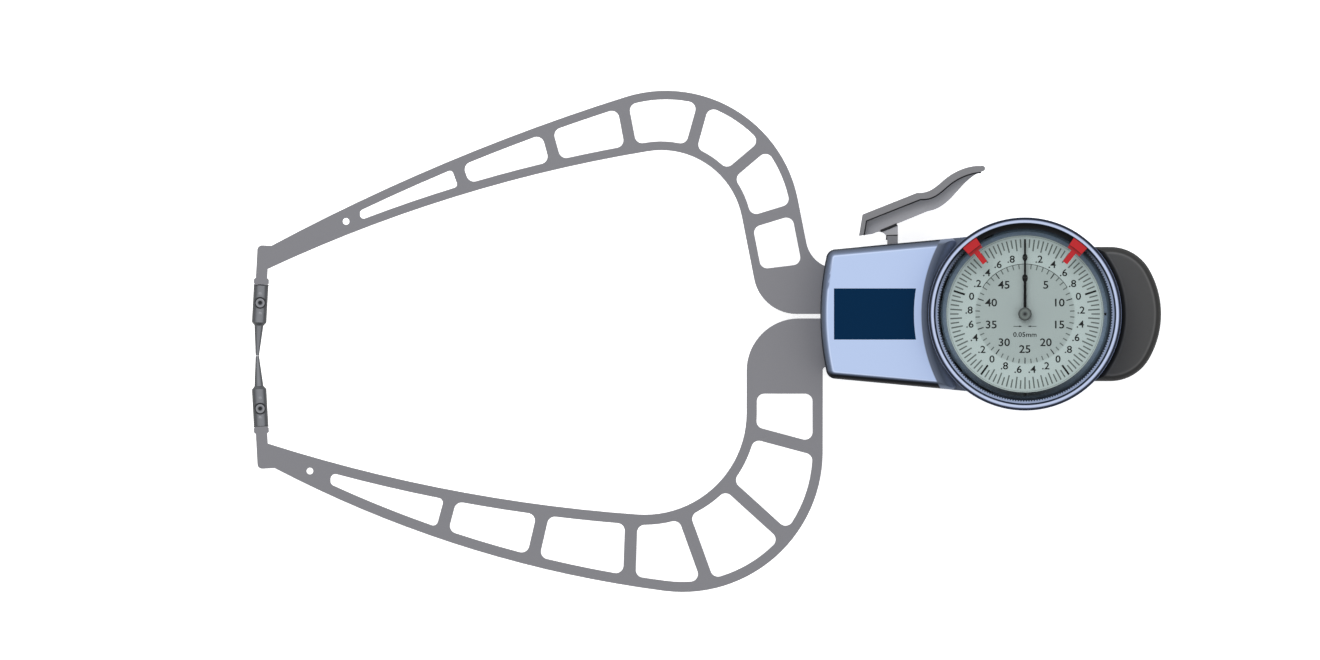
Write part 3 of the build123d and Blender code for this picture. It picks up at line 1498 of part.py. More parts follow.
# Hairspring that takes up the play in the teeth
with BuildPart() as hairspring_collet:
    add_pins([Vector(0, 0)], hair_height, hair_height + hair_strip_height, tube_radius + hair_collet_wall)
    cut_pins([Vector(0, 0)], hair_height, hair_height + hair_strip_height, tube_radius)
hairspring_collet.part.label = "hairspring_collet"
export_step(hairspring_collet.part, "parts/hairspring_collet.step")

with BuildPart() as hairspring:
    with BuildSketch(Plane(origin=(0, 0, hair_height), x_dir=(-1, 0, 0))):
        add(spiral_profile(hair_first_radius, hair_pitch, hair_half_turns, hair_strip))
    extrude(amount=hair_strip_height)
hairspring.part.label = "hairspring"
export_step(hairspring.part, "parts/hairspring.step")

with BuildPart() as hairspring_stud:
    add_pins([hair_stud], hair_height, bridge_top, stud_radius)
hairspring_stud.part.label = "hairspring_stud"
export_step(hairspring_stud.part, "parts/hairspring_stud.step")

# Hands
with BuildPart() as short_hand:
    with BuildSketch(Plane.XY.offset(short_hand_height)):
        short_half_widths = (short_hand_half_width, short_hand_tip_half_width)
        add(hand_profile(short_hand_length, *short_half_widths, tube_radius))
    extrude(amount=hand_thickness)
short_hand.part.label = "short_hand"
export_step(short_hand.part, "parts/short_hand.step")

with BuildPart() as long_hand:
    with BuildSketch(Plane.XY.offset(long_hand_height)):
        long_half_widths = (long_hand_half_width, long_hand_tip_half_width)
        add(hand_profile(long_hand_length, *long_half_widths, centre_arbor_radius))
    extrude(amount=hand_thickness)
long_hand.part.label = "long_hand"
export_step(long_hand.part, "parts/long_hand.step")

with BuildPart() as hub_cap:
    cap_bottom = long_hand_height + hand_thickness
    add_pins([Vector(0, 0)], cap_bottom, boss_cap_top, boss_cap_radius)
    cut_pins([Vector(0, 0)], cap_bottom, boss_cap_top - boss_cap_height / 2, centre_arbor_radius)
    fillet(hub_cap.edges().group_by(Axis.Z)[-1], boss_cap_round)
hub_cap.part.label = "hub_cap"
export_step(hub_cap.part, "parts/hub_cap.step")

# Bezel, which turns on the neck of the housing with the dial, the glass and the markers
lip_radius = glass_radius + lip_gap
skirt_bore = neck_radius + running_gap
with BuildPart() as bezel_ring:
    with BuildSketch(Plane.XZ) as bezel_section:
        with BuildLine():
            Polyline(
                (skirt_bore, bezel_bottom),
                (bezel_radius, bezel_bottom),
                (bezel_radius, bezel_top),
                (lip_radius, bezel_top),
                (lip_radius, groove_top),
                (lip_radius + groove_depth, groove_top),
                (lip_radius + groove_depth, seal_top),
                (glass_radius, seal_top),
                (glass_radius, glass_bottom),
                (shelf_radius, glass_bottom),
                (shelf_radius, shelf_bottom),
                (skirt_bore, shelf_bottom),
                close=True,
            )
        make_face()
        outer_rim = bezel_section.vertices().sort_by_distance((bezel_radius, 0, bezel_top))[0]
        fillet(outer_rim, bezel_edge_round)
        inner_rim = bezel_section.vertices().sort_by_distance((lip_radius, 0, bezel_top))[0]
        chamfer(inner_rim, bezel_inner_chamfer)
        with Locations((skirt_bore, bezel_bottom + snap_ring_at + snap_ring_height / 2)):
            Rectangle(2 * snap_ring_depth, snap_ring_height, mode=Mode.SUBTRACT)
    revolve(axis=Axis.Z)
bezel_ring.part.label = "bezel_ring"
export_step(bezel_ring.part, "parts/bezel_ring.step")

with BuildPart() as bezel_retaining_ring:
    with BuildSketch(Plane.XY.offset(bezel_bottom + snap_ring_at)):
        ring_inner = neck_radius - snap_ring_depth + running_gap
        add(ring_piece(ring_inner, skirt_bore + snap_ring_depth, 180 - snap_ring_opening, 90))
    extrude(amount=snap_ring_height)
bezel_retaining_ring.part.label = "bezel_retaining_ring"
export_step(bezel_retaining_ring.part, "parts/bezel_retaining_ring.step")

with BuildPart() as crystal:
    add_pins([Vector(0, 0)], glass_bottom, glass_top, glass_radius)
crystal.part.label = "crystal"
export_step(crystal.part, "parts/crystal.step")

with BuildPart() as crystal_seal:
    add_pins([Vector(0, 0)], glass_top, seal_top, glass_radius)
    cut_pins([Vector(0, 0)], glass_top, seal_top, glass_radius - glass_seal_width)
crystal_seal.part.label = "crystal_seal"
export_step(crystal_seal.part, "parts/crystal_seal.step")

with BuildPart() as dial_ring:
    with BuildSketch(Plane.XZ):
        with BuildLine():
            Polyline(
                (dial_ring_inner, dial_top),
                (shelf_radius, dial_top),
                (shelf_radius, glass_bottom),
                (dial_ring_top, glass_bottom),
                close=True,
            )
        make_face()
    revolve(axis=Axis.Z)
dial_ring.part.label = "dial_ring"
export_step(dial_ring.part, "parts/dial_ring.step")

with BuildPart() as dial_plate:
    add_pins([Vector(0, 0)], dial_bottom, dial_top, dial_radius)
    cut_pins([Vector(0, 0)], dial_bottom, dial_top, dial_hole_radius)
dial_plate.part.label = "dial_plate"
export_step(dial_plate.part, "parts/dial_plate.step")

# Tolerance markers
marker_outer = glass_radius - marker_gap
marker_foot_outer = lip_radius + groove_depth - groove_gap
marker_half_angle = degrees(asin(marker_half_width / marker_outer))
for side in (1, -1):
    angle = 90 + side * marker_angle
    with BuildPart() as marker:
        with BuildSketch(Plane.XY.offset(marker_bottom)):
            add(ring_piece(marker_inner, marker_foot_outer, marker_half_angle, angle))
        with BuildSketch(Plane(origin=(0, 0, marker_bottom), x_dir=polar(Vector(0, 0), 1, angle))):
            with Locations((marker_tip, 0)):
                Rectangle(
                    marker_step - marker_tip, 2 * marker_tab_half_width, align=(Align.MIN, Align.CENTER)
                )
        extrude(amount=marker_foot_height)
        with BuildSketch(Plane.XY.offset(marker_bottom + marker_foot_height)):
            add(ring_piece(marker_step, marker_outer, marker_half_angle, angle))
        extrude(amount=marker_block_height)
    name = "marker_left" if side > 0 else "marker_right"
    marker.part.label = name
    export_step(marker.part, f"parts/{name}.step")
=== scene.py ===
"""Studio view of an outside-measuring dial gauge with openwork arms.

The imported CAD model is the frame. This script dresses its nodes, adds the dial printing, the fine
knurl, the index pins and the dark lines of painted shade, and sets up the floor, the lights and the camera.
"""

import logging
import math
from dataclasses import dataclass, field
from enum import Enum

import bmesh
import bpy
from mathutils import Matrix, Vector


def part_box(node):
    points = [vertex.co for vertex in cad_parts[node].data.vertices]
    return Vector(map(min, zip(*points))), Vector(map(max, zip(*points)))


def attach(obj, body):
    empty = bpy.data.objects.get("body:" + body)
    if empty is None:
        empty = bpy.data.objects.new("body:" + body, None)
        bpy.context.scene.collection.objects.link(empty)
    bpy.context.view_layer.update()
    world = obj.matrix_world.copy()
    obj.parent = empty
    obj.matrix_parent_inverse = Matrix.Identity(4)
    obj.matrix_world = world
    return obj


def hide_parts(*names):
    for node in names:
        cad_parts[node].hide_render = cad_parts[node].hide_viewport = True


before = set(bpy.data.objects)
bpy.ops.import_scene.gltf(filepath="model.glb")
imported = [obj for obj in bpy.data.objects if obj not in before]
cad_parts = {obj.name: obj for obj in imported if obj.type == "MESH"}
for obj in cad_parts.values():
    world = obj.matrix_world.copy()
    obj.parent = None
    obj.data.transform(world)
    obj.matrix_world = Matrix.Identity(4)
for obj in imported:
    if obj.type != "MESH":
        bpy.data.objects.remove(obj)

log = logging.getLogger("dial_gauge")

MM = 0.001
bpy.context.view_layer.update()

# The photograph's frame, in pixels, and what one of its pixels is on the real gauge
PHOTO_WIDTH = 1320
PHOTO_HEIGHT = 660
PIXEL = 0.3125 * MM
# The pixel of the photograph that the dial's axis falls on
DIAL_PIXEL_X = 1025
DIAL_PIXEL_Y = 314

Colour = tuple[float, float, float, float]


def linear(hex_colour: str) -> Colour:
    """Turn an sRGB hex colour into the linear values that shaders use.

    Args:
        hex_colour: Six hex digits with a leading hash.

    Returns:
        Linear red, green and blue, and an alpha of one.
    """
    levels = [int(hex_colour[start : start + 2], 16) / 255 for start in (1, 3, 5)]
    red, green, blue = (
        level / 12.92 if level <= 0.04045 else ((level + 0.055) / 1.055) ** 2.4 for level in levels
    )
    return red, green, blue, 1.0


def add_node(tree: bpy.types.NodeTree, kind: str, inputs: dict | None = None, **options) -> bpy.types.Node:
    """Add a node to a tree, set its options and fill its inputs.

    Args:
        tree: The shader or geometry tree.
        kind: The node's type name.
        inputs: Value or source socket for each input, by name or index.
        **options: Attributes of the node to set.

    Returns:
        The new node.
    """
    node = tree.nodes.new(kind)
    for name, value in options.items():
        setattr(node, name, value)
    for key, value in (inputs or {}).items():
        if isinstance(value, bpy.types.NodeSocket):
            tree.links.new(value, node.inputs[key])
        else:
            node.inputs[key].default_value = value
    return node


def fill_ramp(node: bpy.types.Node, stops: list[tuple[float, str]]) -> None:
    """Set the stops of a colour ramp.

    Args:
        node: The Color Ramp node.
        stops: Position and hex colour of each stop, from low to high.
    """
    ramp = node.color_ramp
    while len(ramp.elements) < len(stops):
        ramp.elements.new(1.0)
    for element, (place, colour) in zip(ramp.elements, stops):
        element.position = place
        element.color = linear(colour)


class Axis(Enum):
    """An axis of the gauge's own frame that a shade follows."""

    BACK = "Y"
    UP = "Z"


def tinted(tree: bpy.types.NodeTree, colour: bpy.types.NodeSocket, grain: bpy.types.Node, swing: float):
    """Break a colour up with the grain of its finish.

    Args:
        tree: The material's node tree.
        colour: The socket that carries the colour.
        grain: The noise node of the finish.
        swing: How far the grain moves the colour's value, as a share.

    Returns:
        The socket that carries the broken colour.
    """
    speck = add_node(
        tree, "ShaderNodeMapRange", {"Value": grain.outputs["Fac"], "To Min": 1 - swing, "To Max": 1 + swing}
    )
    broken = add_node(
        tree, "ShaderNodeVectorMath", {0: colour, "Scale": speck.outputs["Result"]}, operation="SCALE"
    )
    return broken.outputs["Vector"]


def distance_from(tree: bpy.types.NodeTree, coords: bpy.types.Node, x: float, y: float) -> bpy.types.NodeSocket:
    """Measure how far a point lies from an upright axis.

    Args:
        tree: The material's node tree.
        coords: Its Texture Coordinate node.
        x: Place of the axis along X, in millimetres.
        y: Place of the axis along Y, in millimetres.

    Returns:
        The socket that carries the distance in metres.
    """
    moved = add_node(
        tree, "ShaderNodeVectorMath", {0: coords.outputs["Object"], 1: (x * MM, y * MM, 0.0)},
        operation="SUBTRACT",
    )
    flat = add_node(
        tree, "ShaderNodeVectorMath", {0: moved.outputs["Vector"], 1: (1.0, 1.0, 0.0)}, operation="MULTIPLY"
    )
    return add_node(tree, "ShaderNodeVectorMath", {0: flat.outputs["Vector"]}, operation="LENGTH").outputs["Value"]


@dataclass(frozen=True)
class Finish:
    """A finish of one real material, with a fine grain in its colour and in its relief.

    Attributes:
        name: The material's name.
        colour: Main colour as sRGB hex.
        dark: Colour of the low spots of the grain.
        metallic: Metallic share of the surface.
        roughness: Middle roughness.
        roughness_swing: How far the grain moves the roughness.
        grain_mm: Real size of one grain.
        relief_mm: Real height of the grain.
        coat: Strength of a clear coat.
        specular: How strongly the bare surface reflects.
        glow: Strength of the light that comes through it from behind.
        stretch: How much longer the grain is along each axis.
    """

    name: str
    colour: str
    dark: str
    metallic: float = 0.0
    roughness: float = 0.5
    roughness_swing: float = 0.08
    grain_mm: float = 0.5
    relief_mm: float = 0.01
    coat: float = 0.0
    specular: float = 0.5
    glow: float = 0.0
    stretch: tuple[float, float, float] = (1.0, 1.0, 1.0)

    def base_colour(self, tree: bpy.types.NodeTree, coords: bpy.types.Node, grain: bpy.types.Node):
        """Mix the two colours of the finish by its grain.

        Args:
            tree: The material's node tree.
            coords: Its Texture Coordinate node.
            grain: Its noise node.

        Returns:
            The socket that carries the colour.
        """
        mixed = add_node(
            tree,
            "ShaderNodeMix",
            {"Factor": grain.outputs["Fac"], 6: linear(self.dark), 7: linear(self.colour)},
            data_type="RGBA",
        )
        return mixed.outputs[2]

    def build(self) -> bpy.types.Material:
        """Make the material.

        Returns:
            The finished material.
        """
        material = bpy.data.materials.new(self.name)
        material.use_nodes = True
        tree = material.node_tree
        shader = tree.nodes["Principled BSDF"]
        coords = add_node(tree, "ShaderNodeTexCoord")
        placed = add_node(
            tree,
            "ShaderNodeMapping",
            {"Vector": coords.outputs["Object"], "Scale": [1 / share for share in self.stretch]},
        )
        grain = add_node(
            tree,
            "ShaderNodeTexNoise",
            {"Vector": placed.outputs["Vector"], "Scale": 1 / (self.grain_mm * MM), "Detail": 3.0},
        )
        spread = add_node(
            tree,
            "ShaderNodeMapRange",
            {
                "Value": grain.outputs["Fac"],
                "To Min": self.roughness - self.roughness_swing,
                "To Max": self.roughness + self.roughness_swing,
            },
        )
        bump = add_node(
            tree,
            "ShaderNodeBump",
            {"Height": grain.outputs["Fac"], "Distance": self.relief_mm * MM, "Strength": 1.0},
        )
        tree.links.new(self.base_colour(tree, coords, grain), shader.inputs["Base Color"])
        tree.links.new(spread.outputs["Result"], shader.inputs["Roughness"])
        tree.links.new(bump.outputs["Normal"], shader.inputs["Normal"])
        shader.inputs["Metallic"].default_value = self.metallic
        shader.inputs["Coat Weight"].default_value = self.coat
        shader.inputs["Specular IOR Level"].default_value = self.specular
        shader.inputs["Emission Strength"].default_value = self.glow
        material.diffuse_color = linear(self.colour)
        return material


@dataclass(frozen=True)
class RimmedFinish(Finish):
    """A finish with painted shade towards the rims, where the surface turns away from one direction.

    Attributes:
        rims: Stops of painted shade and highlight over the normal's part, from fully turned away to fully facing.
        facing: The direction that the shade follows.
    """

    rims: tuple[tuple[float, str], ...] = ((0.0, "#000000"), (1.0, "#FFFFFF"))
    facing: Axis = Axis.UP

    def base_colour(self, tree: bpy.types.NodeTree, coords: bpy.types.Node, grain: bpy.types.Node):
        """Paint shade on the surface by how it is turned, and break that up with the grain.

        Args:
            tree: The material's node tree.
            coords: Its Texture Coordinate node.
            grain: Its noise node.

        Returns:
            The socket that carries the colour.
        """
        parts = add_node(tree, "ShaderNodeSeparateXYZ", {"Vector": coords.outputs["Normal"]})
        turned = add_node(tree, "ShaderNodeValToRGB", {"Fac": parts.outputs[self.facing.value]})
        fill_ramp(turned, list(self.rims))
        return tinted(tree, turned.outputs["Color"], grain, 0.06)


@dataclass(frozen=True)
class RecessedFinish(RimmedFinish):
    """A rimmed finish with painted light in its recess, which lifts the shade that falls there.

    Attributes:
        recess_top: Everything under this height belongs to the recess, in millimetres.
        recess_painted_light: Value of the painted light in the recess, as a share of the rest.
    """

    recess_top: float = 0.0
    recess_painted_light: float = 1.0

    def base_colour(self, tree: bpy.types.NodeTree, coords: bpy.types.Node, grain: bpy.types.Node):
        """Colour the rims, then paint light into the recess.

        Args:
            tree: The material's node tree.
            coords: Its Texture Coordinate node.
            grain: Its noise node.

        Returns:
            The socket that carries the colour.
        """
        rimmed = super().base_colour(tree, coords, grain)
        parts = add_node(tree, "ShaderNodeSeparateXYZ", {"Vector": coords.outputs["Object"]})
        level = add_node(
            tree, "ShaderNodeMapRange",
            {"Value": parts.outputs[Axis.UP.value], "From Min": self.recess_top * MM,
             "From Max": (self.recess_top + 0.5) * MM, "To Min": self.recess_painted_light, "To Max": 1.0},
        )
        lifted = add_node(
            tree, "ShaderNodeVectorMath", {0: rimmed, "Scale": level.outputs["Result"]}, operation="SCALE"
        )
        return lifted.outputs["Vector"]


@dataclass(frozen=True)
class PaintedShadowFinish(RimmedFinish):
    """A rimmed finish with a second, darker set of colours inside a circle, painted as a shadow.

    Attributes:
        inner_rims: Stops of painted shadow and shade over the normal's part for the area inside the circle.
        centre_x: Middle of the circle along X, in millimetres.
        reach: Radius of the circle.
        blur: Width of the soft edge between the two.
        front_value: Value, as a share, of a rim that faces the front, which paints shade there.
        side: Colour of the upright sides, painted darker than the face as shade.
    """

    inner_rims: tuple[tuple[float, str], ...] = ((0.0, "#000000"), (1.0, "#FFFFFF"))
    centre_x: float = 0.0
    reach: float = 10.0
    blur: float = 0.3
    front_value: float = 1.0
    side: str = "#808080"

    def base_colour(self, tree: bpy.types.NodeTree, coords: bpy.types.Node, grain: bpy.types.Node):
        """Paint shade on both areas by how the surface is turned, and divide them at the painted shadow's circle.

        Args:
            tree: The material's node tree.
            coords: Its Texture Coordinate node.
            grain: Its noise node.

        Returns:
            The socket that carries the colour.
        """
        parts = add_node(tree, "ShaderNodeSeparateXYZ", {"Vector": coords.outputs["Normal"]})
        outside = add_node(tree, "ShaderNodeValToRGB", {"Fac": parts.outputs[self.facing.value]})
        fill_ramp(outside, list(self.rims))
        inside = add_node(tree, "ShaderNodeValToRGB", {"Fac": parts.outputs[self.facing.value]})
        fill_ramp(inside, list(self.inner_rims))
        # Painted shade on the rims that face the front
        shade = add_node(
            tree, "ShaderNodeMapRange",
            {"Value": parts.outputs[Axis.BACK.value], "From Min": -0.5, "From Max": -0.12,
             "To Min": self.front_value},
        )
        shaded = add_node(
            tree, "ShaderNodeVectorMath", {0: outside.outputs["Color"], "Scale": shade.outputs["Result"]},
            operation="SCALE",
        )
        # Painted shadow inside the circle
        divide = add_node(
            tree, "ShaderNodeMapRange",
            {"Value": distance_from(tree, coords, self.centre_x, 0.0),
             "From Min": (self.reach - self.blur / 2) * MM, "From Max": (self.reach + self.blur / 2) * MM},
        )
        mixed = add_node(
            tree, "ShaderNodeMix",
            {"Factor": divide.outputs["Result"], 6: inside.outputs["Color"], 7: shaded.outputs["Vector"]},
            data_type="RGBA",
        )
        # Upright sides painted darker, as shade
        upright = add_node(
            tree, "ShaderNodeMapRange",
            {"Value": parts.outputs[Axis.UP.value], "From Min": 0.08, "From Max": 0.24},
        )
        sided = add_node(
            tree, "ShaderNodeMix",
            {"Factor": upright.outputs["Result"], 6: linear(self.side), 7: mixed.outputs[2]},
            data_type="RGBA",
        )
        return tinted(tree, sided.outputs[2], grain, 0.03)


@dataclass(frozen=True)
class TurnedFinish(Finish):
    """A finish whose colour changes with the distance from the dial's axis, as on turned rings.

    Attributes:
        rings: Radius in millimetres and hex colour of each stop, from the middle out.
        front_rings: The same for the front of the ring, painted lighter or darker than the back as light and shade,
            or nothing where it is alike all round.
        mottle: How far the grain moves the colour's value, as a share.
        back_from: Where the front's colours start to give way, as a share of the outer radius.
        back_to: Where they are gone.
        centre_of: The node whose middle the rings run round, or nothing for the dial's axis.
    """

    rings: tuple[tuple[float, str], ...] = ((0.0, "#000000"), (1.0, "#FFFFFF"))
    front_rings: tuple[tuple[float, str], ...] = ()
    mottle: float = 0.04
    back_from: float = -1.0
    back_to: float = 1.0
    centre_of: str = ""

    def ringed(
        self, tree: bpy.types.NodeTree, radius: bpy.types.NodeSocket, rings: tuple[tuple[float, str], ...]
    ) -> bpy.types.NodeSocket:
        """Lay one set of rings.

        Args:
            tree: The material's node tree.
            radius: The socket that carries the distance from the axis.
            rings: Radius and colour of each stop.

        Returns:
            The socket that carries the colour.
        """
        low, high = rings[0][0], rings[-1][0]
        share = add_node(
            tree, "ShaderNodeMapRange", {"Value": radius, "From Min": low * MM, "From Max": high * MM}
        )
        ramp = add_node(tree, "ShaderNodeValToRGB", {"Fac": share.outputs["Result"]})
        fill_ramp(ramp, [((place - low) / (high - low), colour) for place, colour in rings])
        return ramp.outputs["Color"]

    def base_colour(self, tree: bpy.types.NodeTree, coords: bpy.types.Node, grain: bpy.types.Node):
        """Colour the surface by its distance from the dial's axis.

        Args:
            tree: The material's node tree.
            coords: Its Texture Coordinate node.
            grain: Its noise node.

        Returns:
            The socket that carries the colour.
        """
        middle = sum(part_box(self.centre_of), Vector()) / 2 / MM if self.centre_of else Vector()
        radius = distance_from(tree, coords, middle.x, middle.y)
        colour = self.ringed(tree, radius, self.rings)
        # Painted light and shade: the front of the ring differs from its back
        if self.front_rings:
            parts = add_node(tree, "ShaderNodeSeparateXYZ", {"Vector": coords.outputs["Object"]})
            reach = self.rings[-1][0] * MM
            back = add_node(
                tree, "ShaderNodeMapRange",
                {"Value": parts.outputs[Axis.BACK.value], "From Min": self.back_from * reach,
                 "From Max": self.back_to * reach},
            )
            front = self.ringed(tree, radius, self.front_rings)
            mixed = add_node(
                tree, "ShaderNodeMix", {"Factor": back.outputs["Result"], 6: front, 7: colour},
                data_type="RGBA",
            )
            colour = mixed.outputs[2]
        return tinted(tree, colour, grain, self.mottle)


@dataclass(frozen=True)
class ClearGlass:
    """Float glass, ground flat and polished: nearly unseen, with a faint cool gloss.

    Attributes:
        name: The material's name.
        tint: Colour of what little the glass holds back.
        cover: Share of the light that it holds back.
    """

    name: str = "polished_float_glass"
    tint: str = "#E8F2F4"
    cover: float = 0.005

    def build(self) -> bpy.types.Material:
        """Make the material.

        Returns:
            The finished material.
        """
        material = bpy.data.materials.new(self.name)
        material.use_nodes = True
        tree = material.node_tree
        shader = tree.nodes["Principled BSDF"]
        coords = add_node(tree, "ShaderNodeTexCoord")
        dust = add_node(
            tree, "ShaderNodeTexNoise", {"Vector": coords.outputs["Object"], "Scale": 1 / (2 * MM)}
        )
        wiped = add_node(
            tree, "ShaderNodeMapRange", {"Value": dust.outputs["Fac"], "To Min": 0.02, "To Max": 0.06}
        )
        tree.links.new(wiped.outputs["Result"], shader.inputs["Roughness"])
        shader.inputs["Base Color"].default_value = linear(self.tint)
        shader.inputs["Alpha"].default_value = self.cover
        shader.inputs["IOR"].default_value = 1.5
        return material


# Aluminium with a matt grey coat: even grey, with painted shade a little darker where its sides turn away
COATED_ALUMINIUM = RimmedFinish(
    "matt_coated_aluminium", "#808085", "#77777C", roughness=0.62, grain_mm=0.35, relief_mm=0.006,
    rims=((0.0, "#56565B"), (0.55, "#6A6A6F"), (0.9, "#7A7A7F"), (1.0, "#7F7F84")),
)
# Die-cast lever with the same coat, a touch warmer, with painted shade on its rounded edges and painted light in its
# recess
COATED_CASTING = RecessedFinish(
    "matt_coated_casting", "#7E7E81", "#767679", roughness=0.6, grain_mm=0.4, relief_mm=0.008,
    specular=0.3, rims=((0.0, "#343435"), (0.5, "#4C4C4E"), (0.85, "#78787B"), (1.0, "#818184")),
    recess_top=14.5, recess_painted_light=1.9,
)
# Ground carbon steel, unplated: grey with fine lines across it and painted shade where it turns away
GROUND_STEEL = RimmedFinish(
    "ground_steel", "#7C7E83", "#5E6065", metallic=0.35, roughness=0.42, grain_mm=0.3,
    relief_mm=0.005, stretch=(4.0, 0.5, 1.0),
    rims=((0.0, "#17181B"), (0.5, "#26282B"), (0.78, "#4A4C50"), (0.93, "#787A7F"), (1.0, "#87898E")),
)
# Die-cast aluminium stoved in light blue enamel: satin, with a painted highlight on the brow of its rims,
# painted slate shade down its sides, darkest facing the front, and a painted shadow in slate round the drum
ENAMELLED_CASTING = PaintedShadowFinish(
    "blue_stoved_enamel", "#BBCDEF", "#B6C8EC", roughness=0.36, roughness_swing=0.05,
    grain_mm=0.25, relief_mm=0.002, coat=0.05, specular=0.1, centre_x=15.7, reach=48.1,
    front_value=0.06, side="#5F6D8A",
    rims=(
        (0.0, "#0C0F14"), (0.5, "#171B22"), (0.64, "#464E5C"), (0.9, "#5E687C"),
        (0.965, "#7A87A2"), (0.986, "#A9B8D7"), (0.994, "#D0DEFA"), (1.0, "#B8CAEC"),
    ),
    inner_rims=(
        (0.0, "#171A21"), (0.3, "#737D90"), (0.75, "#6F798C"), (0.92, "#4F5763"), (0.97, "#5B6371"),
        (1.0, "#666E7D"),
    ),
)
# The rear cover in the same enamel, a darker slate blue all round, with painted shade down its rims
ENAMELLED_COVER = RimmedFinish(
    "slate_stoved_enamel", "#6F7D9C", "#657391", roughness=0.42, grain_mm=0.25, relief_mm=0.003,
    coat=0.15, rims=((0.0, "#3C4659"), (0.5, "#55617C"), (1.0, "#74829F")),
)
# Moulded hard rubber: near black, soft sheen, with a painted highlight on the brow of its rounded rim and painted
# shade below it
MOULDED_RUBBER = RimmedFinish(
    "moulded_hard_rubber", "#4A4A4A", "#3C3C3C", roughness=0.55, roughness_swing=0.12,
    grain_mm=0.45, relief_mm=0.012, specular=0.25,
    rims=((0.0, "#0C0C0C"), (0.5, "#151515"), (0.9, "#2A2A2A"), (0.975, "#5A5A5A"), (1.0, "#494949")),
)
# Printed polyester label under a clear film: deep navy with a smooth gloss
PRINTED_LABEL = Finish(
    "navy_printed_film", "#01294B", "#012645", roughness=0.3, roughness_swing=0.03, grain_mm=0.6,
    relief_mm=0.001, specular=0.08,
)
# Nitrile seal rubber: black and dull
SEAL_RUBBER = Finish("nitrile_rubber", "#101010", "#080808", roughness=0.7, grain_mm=0.2)
# Glazing ring of hard rubber with a silvered band, painted black towards the back as the shadow of the bezel's lip
GLAZING_RING = TurnedFinish(
    "silvered_glazing_rubber", "#3A444C", "#262C32", roughness=0.5, roughness_swing=0.12, grain_mm=0.5,
    relief_mm=0.006, specular=0.2, mottle=0.2, back_from=0.3, back_to=0.75,
    rings=((26.8, "#1B1E22"), (27.5, "#0E1013"), (28.4, "#0A0B0D")),
    front_rings=((26.8, "#18212C"), (27.32, "#222D3A"), (27.42, "#98A6C2"), (27.88, "#A2B0CC"),
                 (28.02, "#1C2736"), (28.4, "#161E2A")),
)
# Turned free-cutting steel: bright, with fine tool lines
TURNED_STEEL = Finish(
    "turned_steel", "#B4B6BA", "#A2A4A8", metallic=0.9, roughness=0.32, grain_mm=0.2,
    relief_mm=0.002, stretch=(1.0, 1.0, 0.2),
)
# Steel screws, blackened in a hot oxide bath: dark, with worn edges that show as paler specks
BLACKENED_STEEL = Finish(
    "blackened_steel", "#4C4D50", "#2C2D30", metallic=0.7, roughness=0.38, grain_mm=0.25,
    relief_mm=0.004,
)
# Cap screws of the contacts, bright steel turned at the face: pale, with painted shade darkening the socket and the
# rim round the head
SCREW_RINGS = ((0.0, "#292A2D"), (0.45, "#333539"), (0.7, "#85878C"), (1.2, "#94969B"),
               (1.42, "#6A6C70"), (1.5, "#1A1B1E"), (2.0, "#1A1B1E"))
FIXED_CAP_SCREW = TurnedFinish(
    "turned_cap_screw_fixed", "#94969B", "#84868B", metallic=0.2, roughness=0.4, grain_mm=0.2,
    relief_mm=0.002, rings=SCREW_RINGS, centre_of="fixed_contact_screw",
)
MOVABLE_CAP_SCREW = TurnedFinish(
    "turned_cap_screw_movable", "#94969B", "#84868B", metallic=0.2, roughness=0.4, grain_mm=0.2,
    relief_mm=0.002, rings=SCREW_RINGS, centre_of="movable_contact_screw",
)
# Locating pins, hardened and polished at their ends: pale grey
PIN_STEEL = Finish(
    "polished_pin_steel", "#9A9CA1", "#8A8C91", metallic=0.2, roughness=0.35, grain_mm=0.15, relief_mm=0.001
)
# Spring strip, hardened and blued: deep blue steel
BLUED_STEEL = Finish(
    "blued_spring_steel", "#44507A", "#323C60", metallic=0.9, roughness=0.28, grain_mm=0.3,
    relief_mm=0.002, stretch=(1.0, 1.0, 4.0),
)
# Clock brass, fine-grained across its faces and left bare
GRAINED_BRASS = Finish(
    "grained_brass", "#D9B25A", "#C39A45", metallic=0.95, roughness=0.3, grain_mm=0.18,
    relief_mm=0.003, stretch=(5.0, 1.0, 1.0),
)
# Hands stamped from thin aluminium, sprayed matt black
BLACK_LACQUER = Finish(
    "black_lacquer", "#050506", "#020202", roughness=0.6, grain_mm=0.1, relief_mm=0.002, specular=0.08
)
# Cap of the hands: nickel-plated and satin, with painted shade darkening the dimple in its middle and its edge
SATIN_NICKEL = TurnedFinish(
    "satin_nickel", "#8A9190", "#7C8382", metallic=0.3, roughness=0.4, grain_mm=0.12,
    relief_mm=0.002,
    rings=((0.0, "#15181A"), (0.35, "#222626"), (0.65, "#59615F"), (1.2, "#727B78"), (1.5, "#626B68"),
           (1.8, "#434A48"), (2.1, "#3A403E")),
)
# Dial of aluminium sheet, sprayed matt grey-green, with its middle a shade darker
SPRAYED_DIAL = TurnedFinish(
    "sprayed_dial_lacquer", "#B4C4C2", "#AEBEBC", roughness=0.6, grain_mm=0.15, relief_mm=0.002,
    rings=((0.0, "#9CA9A8"), (15.2, "#A0AEAC"), (15.9, "#B2C2C0"), (24.0, "#B8C8C6"),
           (26.5, "#A9B9BA")),
)
